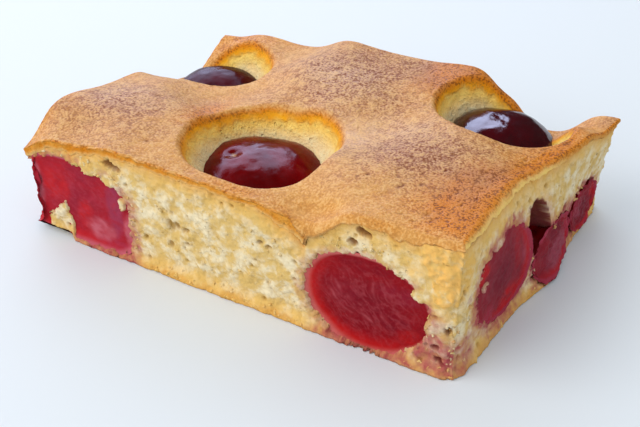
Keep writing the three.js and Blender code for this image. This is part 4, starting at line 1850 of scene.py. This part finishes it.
@dataclass
class Cherry:
    """One cherry: a pressed ball with its skin's wrinkles, flattened where a side cuts it."""

    fruit: Fruit
    skin: bpy.types.Material
    flesh: bpy.types.Material
    slot: str
    fineness: int = 6
    dome: float = 0.25
    above_base: float = 0.15
    wrinkle: Relief = Relief(5.0, 0.16)
    pucker: Relief = Relief(1.6, 0.05)
    face_wave: Relief = Relief(2.0, octaves=4)
    face_rough: Pair = (0.05, 1.6)
    corner_roll: Ease = Ease(2.6, 0.0, 1.4)
    corner_wave: Relief = Relief(2.5, 0.8, middle=1.0)
    flow_turn: float = -52.0
    flow_stretch: float = 3.2
    flow_wave: Pair = (4.5, 2.4)
    flow_plane: float = 3.0
    strand_size: float = 1.3
    strand_fade: Pair = (0.8, 2.1)
    strand_thin: float = 4.0
    strand_reach: Ease = Ease(0.95, 0.45, 0.36)
    net: Relief = Relief(1.7, 6.0)
    net_strength: float = 0.14
    vein_bend: float = 0.6
    vein_wave: Pair = (1.3, 0.35)
    vein_fade: Relief = Relief(2.4, 1.2, middle=0.55)
    vein_core: Ease = Ease(0.4, 0.05, 0.45)
    vein_glow: Ease = Ease(1.3, 0.2, 0.2)
    # Painted light: the bright rim shows, and the pale edge widens, on the side of the face turned towards
    # rim_from.
    rim_from: Pair = (-0.7, -0.7)
    rim_turn: Ease = Ease(-0.5, 0.8)
    rim_reach: Ease = Ease(0.66, 0.88)
    edge_from: Pair = (0.92, 0.82)
    edge_to: float = 0.97
    core_reach: Ease = Ease(0.75, 0.1)
    fibre_reach: Ease = Ease(0.99, 0.85)
    blotch_wave: Relief = Relief(1.6, 0.9, 4, middle=1.0)
    scar_at: Triple | None = None
    scar_depth: float = 0.55
    scar_dimple: Ease = Ease(2.2, 0.2)
    scar_edge: Ease = Ease(0.75, 0.4)
    names: tuple[str, ...] = ("fibre", "rim", "edge", "core", "haze", "scar")

    def cut(self, point: Vector) -> tuple[Vector, Side | None]:
        """Flattens a point onto the first side that it lies beyond.

        Args:
            point: The point on the skin.

        Returns:
            The point, and the side that cut it or None.
        """
        cut_side = None
        for side in self.fruit.cut_by:
            face = self.fruit.recess - self.dome * max(1.0 - self.fruit.inside(point), 0.0)
            if side is not self.fruit.cut_by[0]:
                gap = -CAKE.beyond(self.fruit.cut_by[0], point) - self.fruit.recess
                face += self.corner_roll.at(gap) * self.corner_wave.at(point)
            rough = self.face_rough[0] + self.face_rough[1] * self.fruit.ragged
            past = CAKE.beyond(side, point) + face - rough * self.face_wave.at(point)
            if past > 0.0:
                point = point - CAKE.normal(side) * past
                cut_side = side
        point.z = max(point.z, CAKE.underside(point.x, point.y) + self.above_base)
        return point, cut_side

    def fibres(self, point: Vector, along: float, up: float, reach: float) -> float:
        """Works out how strongly pale fibres show at a place on the cut face.

        Args:
            point: The point.
            along: Millimetres along the side from the cherry's middle.
            up: Millimetres above the middle.
            reach: The same as a share of the way to the skin.

        Returns:
            The share of fibre.
        """
        wobble = noise.noise_vector(point / self.flow_wave[0])
        place = Vector((along + self.flow_wave[1] * wobble.x, up + self.flow_wave[1] * wobble.z))
        flow = Matrix.Rotation(-math.radians(self.flow_turn), 2) @ place
        strand_at = Vector((flow.x / self.flow_stretch, flow.y, self.flow_plane)) / self.strand_size
        strands = 1.0 - abs(noise.fractal(strand_at, *self.strand_fade, 3)) * self.strand_thin
        fibre = max(strands, 0.0) * self.strand_reach.at(reach)
        fibre += self.net_strength * max(1.0 - abs(self.net.at(point)), 0.0)
        if self.fruit.veins:
            fine = noise.noise_vector(point / self.vein_wave[0])
            bent = Vector((
                along + self.vein_bend * wobble.x + self.vein_wave[1] * fine.x,
                up + self.vein_bend * wobble.z + self.vein_wave[1] * fine.z,
            ))
            gap = min(path_gap(vein, bent) for vein in self.fruit.veins)
            fibre = max(fibre, self.vein_fade.at(point) * (self.vein_core.at(gap) + self.vein_glow.at(gap)))
        return fibre

    def face_masks(self, point: Vector, side: Side) -> dict[str, float]:
        """Works out the look of the cut face at a point.

        Args:
            point: The point on the face.
            side: The side that it lies on.

        Returns:
            The masks.
        """
        off = point - Vector(self.fruit.at)
        axis = 0 if side in (Side.FRONT, Side.BACK) else 1
        across, up = off[axis] / self.fruit.half[axis], off.z / self.fruit.half[2]
        reach = math.hypot(across, up)
        # Painted light: how much this place faces the light sets the bright rim and the width of the pale
        # edge.
        facing_light = (across * self.rim_from[0] + up * self.rim_from[1]) / max(reach, 0.1)
        lit = self.rim_turn.at(facing_light)
        near = self.fruit.inside(point)
        masks = {
            "fibre": self.fibres(point, off[axis], off.z, reach) * self.fibre_reach.at(near),
            "rim": lit * self.rim_reach.at(near),
            "edge": smooth(blend(*self.edge_from, lit), self.edge_to, near),
            "core": self.core_reach.at(reach),
            "haze": 0.0,
            "scar": 0.0,
        }
        patchy = self.blotch_wave.at(point)
        for blotch in self.fruit.blotches:
            if blotch.side is side:
                strength = patchy * blotch.share(point[axis], point.z)
                masks[blotch.mask] = max(masks[blotch.mask], strength)
        return masks

    def build(self) -> bpy.types.Object:
        """Builds the piece."""
        bm = bmesh.new()
        bmesh.ops.create_icosphere(bm, subdivisions=self.fineness, radius=1.0)
        masks = Masks(bm, self.names)
        faces_cut: dict[bmesh.types.BMVert, bool] = {}
        for vert in bm.verts:
            direction = vert.co.normalized()
            point = self.fruit.skin_point(direction)
            point += direction * self.wrinkle.at(point)
            point += direction * self.pucker.at(point)
            scar = 0.0
            if self.scar_at is not None:
                far = (point - Vector(self.scar_at)).length
                point -= direction * self.scar_depth * self.scar_dimple.at(far)
                scar = self.scar_edge.at(far)
            point, side = self.cut(point)
            vert.co = point
            faces_cut[vert] = side is not None
            masks.write(vert, self.face_masks(point, side) if side else {"edge": 0.0, "scar": scar})
        for face in bm.faces:
            face.material_index = int(all(faces_cut[vert] for vert in face.verts))
        node = self.fruit.node
        return make_piece(bm, node + "_fruit", [self.skin, self.flesh], [node])


@dataclass(frozen=True)
class CrumbStrip:
    """A stretch of a side that small torn crumbs cling to."""

    side: Side
    start: Pair
    end: Pair
    spread: float
    count: int
    pink: float = 0.0
    size: Pair = (0.22, 0.55)


def strips_on(side: Side, *rows: tuple) -> tuple[CrumbStrip, ...]:
    """Returns strips on one side, from rows of start, end, spread, count, pink and size."""
    return tuple(CrumbStrip(side, *row) for row in rows)


@dataclass
class TornCrumbs:
    """Small torn crumbs that cling to the cut sides, their edges and the rims of the cut fruit."""

    body: CrumbBody
    strips: tuple[CrumbStrip, ...] = strips_on(
        Side.FRONT,
        ((-24, 0.8), (12, 0.8), 0.6, 40), ((34, 1), (41, 1), 1, 7, 0.8),
        ((41, 2), (41.6, 14), 0.8, 10, 0.5), ((37.2, 4), (38, 13), 1.8, 9, 0.6),
        ((-24.8, 3), (-25.6, 16), 0.5, 16, 0.4), ((-26.5, 19), (-38, 20), 0.5, 14),
        ((28, 20.6), (36.6, 12), 0.45, 16, 0.2, (0.2, 0.45)), ((14, 22), (31, 24), 1, 22),
        ((-20, 9), (9, 15), 6, 30), ((-46, 20), (-30, 22), 0.6, 18),
    ) + strips_on(
        Side.RIGHT,
        ((-27, 1), (29, 1), 0.7, 20, 0.4), ((-27.5, 4), (-26, 15), 1.6, 9, 0.4),
        ((-23, 16), (-11, 21), 0.7, 16, 0.5, (0.2, 0.45)),
        ((-2, 4), (-1.6, 18), 0.7, 8, 1), ((4, 12), (20, 13), 1.4, 12, 0.9),
        ((8, 1.5), (15, 6), 1, 8, 0.9), ((4, 20), (28, 15), 2.6, 30),
    ) + strips_on(
        Side.BACK,
        ((-38, 1), (46, 1), 0.7, 40), ((-38, 9), (46, 12), 6, 40),
    ) + strips_on(
        Side.LEFT,
        ((-14, 1), (25, 1), 0.7, 24), ((-13, 8), (24, 6), 4, 26),
    )
    lumpy: float = 1.3
    lump_size: float = 0.9
    sunk: float = 0.45
    lowest: Pair = (0.5, 0.05)
    highest: float = 0.93
    end_gap: float = 0.004
    stretches: tuple[Pair, ...] = ((0.6, 1.4), (0.5, 1.1), (0.4, 0.8))
    tones: Pair = (0.0, 0.6)
    gold: Ease = Ease(4.0, 1.0, 0.8)

    def place(self, strip: CrumbStrip, draw: random.Random) -> Vector:
        """Draws a place for one crumb of a strip.

        Args:
            strip: The strip.
            draw: The seeded draw.

        Returns:
            Its middle, a little sunk into the side.
        """
        share = draw.random()
        along = blend(strip.start[0], strip.end[0], share) + draw.gauss(0.0, strip.spread)
        height = blend(strip.start[1], strip.end[1], share) + draw.gauss(0.0, strip.spread)
        axis = 0 if strip.side in (Side.FRONT, Side.BACK) else 1
        first, last = (CAKE.crust_plan[(strip.side.value + step) % 4][axis] for step in (0, 1))
        run = min(max((along - first) / (last - first), self.end_gap), 1.0 - self.end_gap)
        u, v = {
            Side.FRONT: (run, 0.0), Side.RIGHT: (1.0, run),
            Side.BACK: (1.0 - run, 1.0), Side.LEFT: (0.0, 1.0 - run),
        }[strip.side]
        crust = CAKE.crust_height(*CAKE.bowed_plan(u, v, 1.0))
        return self.body.wall_point(u, v, min(max(height, self.lowest[0]) / crust, self.highest))[0]

    def build(self, finish: bpy.types.Material) -> bpy.types.Object:
        """Builds all the crumbs as one piece."""
        draw = random.Random(SEED)
        bm = bmesh.new()
        masks = Masks(bm, self.body.names)
        for strip in self.strips:
            facing = CAKE.normal(strip.side)
            for _ in range(strip.count):
                size = draw.uniform(*strip.size)
                middle = self.place(strip, draw) - facing * self.sunk * size
                angle = draw.uniform(0.0, math.pi)
                turned = Matrix.Rotation(angle, 4, Vector((draw.random(), draw.random(), 1.0)))
                stretch = Matrix.Diagonal((*(draw.uniform(*limits) for limits in self.stretches), 1.0))
                shape = Matrix.Translation(middle) @ turned @ stretch
                made = bmesh.ops.create_icosphere(bm, subdivisions=2, radius=size, matrix=shape)
                pink = strip.pink * draw.random()
                tone = draw.uniform(*self.tones)
                for vert in made["verts"]:
                    vert.co += (vert.co - middle) * self.lumpy * bumps(vert.co, size * self.lump_size)
                    vert.co.z = max(vert.co.z, self.lowest[1])
                    masks.write(vert, {"stain": pink, "tone": tone, "gold": self.gold.at(vert.co.z)})
        return make_piece(bm, "torn_crumbs", [finish], [SPONGE_NODE])


@dataclass(frozen=True)
class SoftLight:
    """A soft square light, by where it stands round the slice."""

    name: str
    azimuth: float
    elevation: float
    size: Pair
    radiance: float
    colour: Triple
    distance: float = 1.6
    diffuse: bool = True
    glossy: bool = True

    def build(self) -> None:
        """Builds the light, facing the slice."""
        light = bpy.data.lights.new(self.name, "AREA")
        light.shape = "RECTANGLE"
        light.size, light.size_y = self.size
        light.energy = self.radiance * math.pi * self.size[0] * self.size[1]
        light.color = self.colour
        lamp = bpy.data.objects.new(self.name, light)
        back = view_back(self.azimuth, self.elevation)
        lamp.matrix_world = looking_back(back * self.distance, back)
        lamp.visible_diffuse = self.diffuse
        lamp.visible_glossy = self.glossy
        lamp.visible_camera = False
        bpy.context.scene.collection.objects.link(lamp)


def view_back(azimuth: float, elevation: float) -> Vector:
    """Returns the direction from the slice to a viewer, with azimuth 0 in front and 90 at the right."""
    turn, rise = math.radians(azimuth), math.radians(elevation)
    return Vector((math.sin(turn) * math.cos(rise), -math.cos(turn) * math.cos(rise), math.sin(rise)))


def looking_back(place: Vector, back: Vector) -> Matrix:
    """Returns where a light or camera stands that looks away from a direction, level."""
    return Matrix.Translation(place) @ back.to_track_quat("Z", "Y").to_matrix().to_4x4()


@dataclass
class Studio:
    """The pale floor, the soft light and the camera."""

    floor_size: float = 3.0
    camera_at: Triple = (92.32, -170.76, 147.35)
    azimuth: float = 28.59
    elevation: float = 37.0
    lens: float = 67.5
    sensor: float = 36.0
    clip_start: float = 0.01
    sky: Triple = (0.93, 0.97, 1.0)
    sky_strength: float = 0.72
    gloss_strength: float = 0.035
    lights: tuple[SoftLight, ...] = (
        SoftLight("window_shine", -127.0, 30.0, (2.0, 1.5), 9.0, (0.60, 0.68, 1.0), diffuse=False),
        SoftLight("window_light", -142.0, 27.0, (1.5, 1.2), 1.05, (0.90, 0.95, 1.0), glossy=False),
        SoftLight("front_fill", -44.0, 40.0, (1.4, 1.4), 2.6, (1.0, 0.98, 0.95), glossy=False),
    )

    def build_floor(self, finish: bpy.types.Material) -> None:
        """Builds the floor."""
        bm = bmesh.new()
        bmesh.ops.create_grid(bm, x_segments=1, y_segments=1, size=self.floor_size / 2.0)
        mesh = bpy.data.meshes.new("floor")
        bm.to_mesh(mesh)
        bm.free()
        mesh.materials.append(finish)
        floor = bpy.data.objects.new("floor", mesh)
        bpy.context.scene.collection.objects.link(floor)

    def build_sky(self) -> None:
        """Builds the even light from all round, which shows less in gloss than it lights."""
        world = bpy.data.worlds.new("studio")
        world.use_nodes = True
        bpy.context.scene.world = world
        wiring = Wiring(world.node_tree)
        sky = world.node_tree.nodes["Background"]
        gloss = wiring.node("LightPath").outputs["Is Glossy Ray"]
        sky.inputs["Color"].default_value = (*self.sky, 1.0)
        strength = wiring.spread(gloss, 0.0, 1.0, self.sky_strength, self.gloss_strength)
        wiring.feed(sky.inputs["Strength"], strength)

    def build_camera(self) -> None:
        """Builds the camera, level and without focus blur."""
        camera = bpy.data.cameras.new("camera")
        camera.sensor_width = self.sensor
        camera.lens = self.lens
        camera.clip_start = self.clip_start
        holder = bpy.data.objects.new("camera", camera)
        holder.matrix_world = looking_back(
            Vector(self.camera_at) * MM, view_back(self.azimuth, self.elevation)
        )
        bpy.context.scene.collection.objects.link(holder)
        bpy.context.scene.camera = holder

    def build(self) -> None:
        """Builds the whole studio."""
        self.build_camera()
        self.build_floor(FloorFinish("pale_floor").build())
        self.build_sky()
        for light in self.lights:
            light.build()
        bpy.context.scene.view_settings.view_transform = "Standard"


def build_cherries() -> None:
    """Builds the whole and the cut cherries with their finishes."""
    red_skin = SkinFinish("cherry_skin_red", (0.09, 0.001, 0.0015), (0.17, 0.001, 0.002), bend=1.22).build()
    dark_skin = SkinFinish(
        "cherry_skin_dark", (0.035, 0.002, 0.004), (0.06, 0.002, 0.005), gloss=(0.10, 0.22), bend=1.5
    ).build()
    dull_skin = SkinFinish(
        "cherry_skin_dull", (0.04, 0.001, 0.003), (0.07, 0.001, 0.004), gloss=(0.2, 0.34), bend=1.11
    ).build()
    raspberry = FleshFinish(
        "flesh_raspberry", flesh=(0.27, 0.006, 0.011), core=(0.20, 0.005, 0.013), rim=(0.47, 0.010, 0.010),
        edge=(0.56, 0.13, 0.12), fibre=(0.42, 0.07, 0.085), haze=(0.25, 0.016, 0.035),
    ).build()
    rosy = FleshFinish(
        "flesh_rosy", flesh=(0.42, 0.014, 0.024), core=(0.32, 0.016, 0.034), rim=(0.50, 0.016, 0.022),
        edge=(0.56, 0.12, 0.16), fibre=(0.46, 0.05, 0.08), haze=(0.34, 0.035, 0.075),
    ).build()
    purple = FleshFinish(
        "flesh_purple", flesh=(0.29, 0.020, 0.031), core=(0.19, 0.014, 0.026), rim=(0.47, 0.012, 0.016),
        edge=(0.38, 0.04, 0.07), fibre=(0.30, 0.05, 0.07), haze=(0.34, 0.06, 0.09),
    ).build()
    skin_of = {"cherry_centre": red_skin, "cherry_back_left": dull_skin}
    flesh_of = {"cherry_front_cut": raspberry, "cherry_left_corner_cut": rosy}
    for fruit in WHOLE_FRUITS:
        cherry = Cherry(fruit, skin_of.get(fruit.node, dark_skin), purple, "cherry_skin")
        if fruit.node == "cherry_centre":
            cherry.scar_at = (-12.7, -12.6, 19.0)
        cherry.build()
    for fruit in CUT_FRUITS:
        cherry = Cherry(fruit, red_skin, flesh_of.get(fruit.node, purple), "cherry_flesh")
        if fruit.node == "cherry_front_cut":
            cherry.fineness = 7
        # On the right side's faces, the painted light falls from the lower right.
        if Side.RIGHT in fruit.cut_by:
            cherry.rim_from = (0.8, -0.6)
        if fruit.ragged > TORN_ABOVE:
            cherry.wrinkle = Relief(4.2, 1.1)
        cherry.build()


def main() -> None:
    """Builds the studio and the slice."""
    noise.seed_set(SEED)
    logging.basicConfig(level=logging.INFO, format="%(message)s")
    Studio().build()
    sponge = SpongeFinish("sponge_crumb").build()
    body = CrumbBody()
    body.build(sponge)
    TornCrumbs(body).build(sponge)
    CrustCap().build(CrustFinish("baked_crust").build())
    build_cherries()


if __name__ == "__main__":
    main()
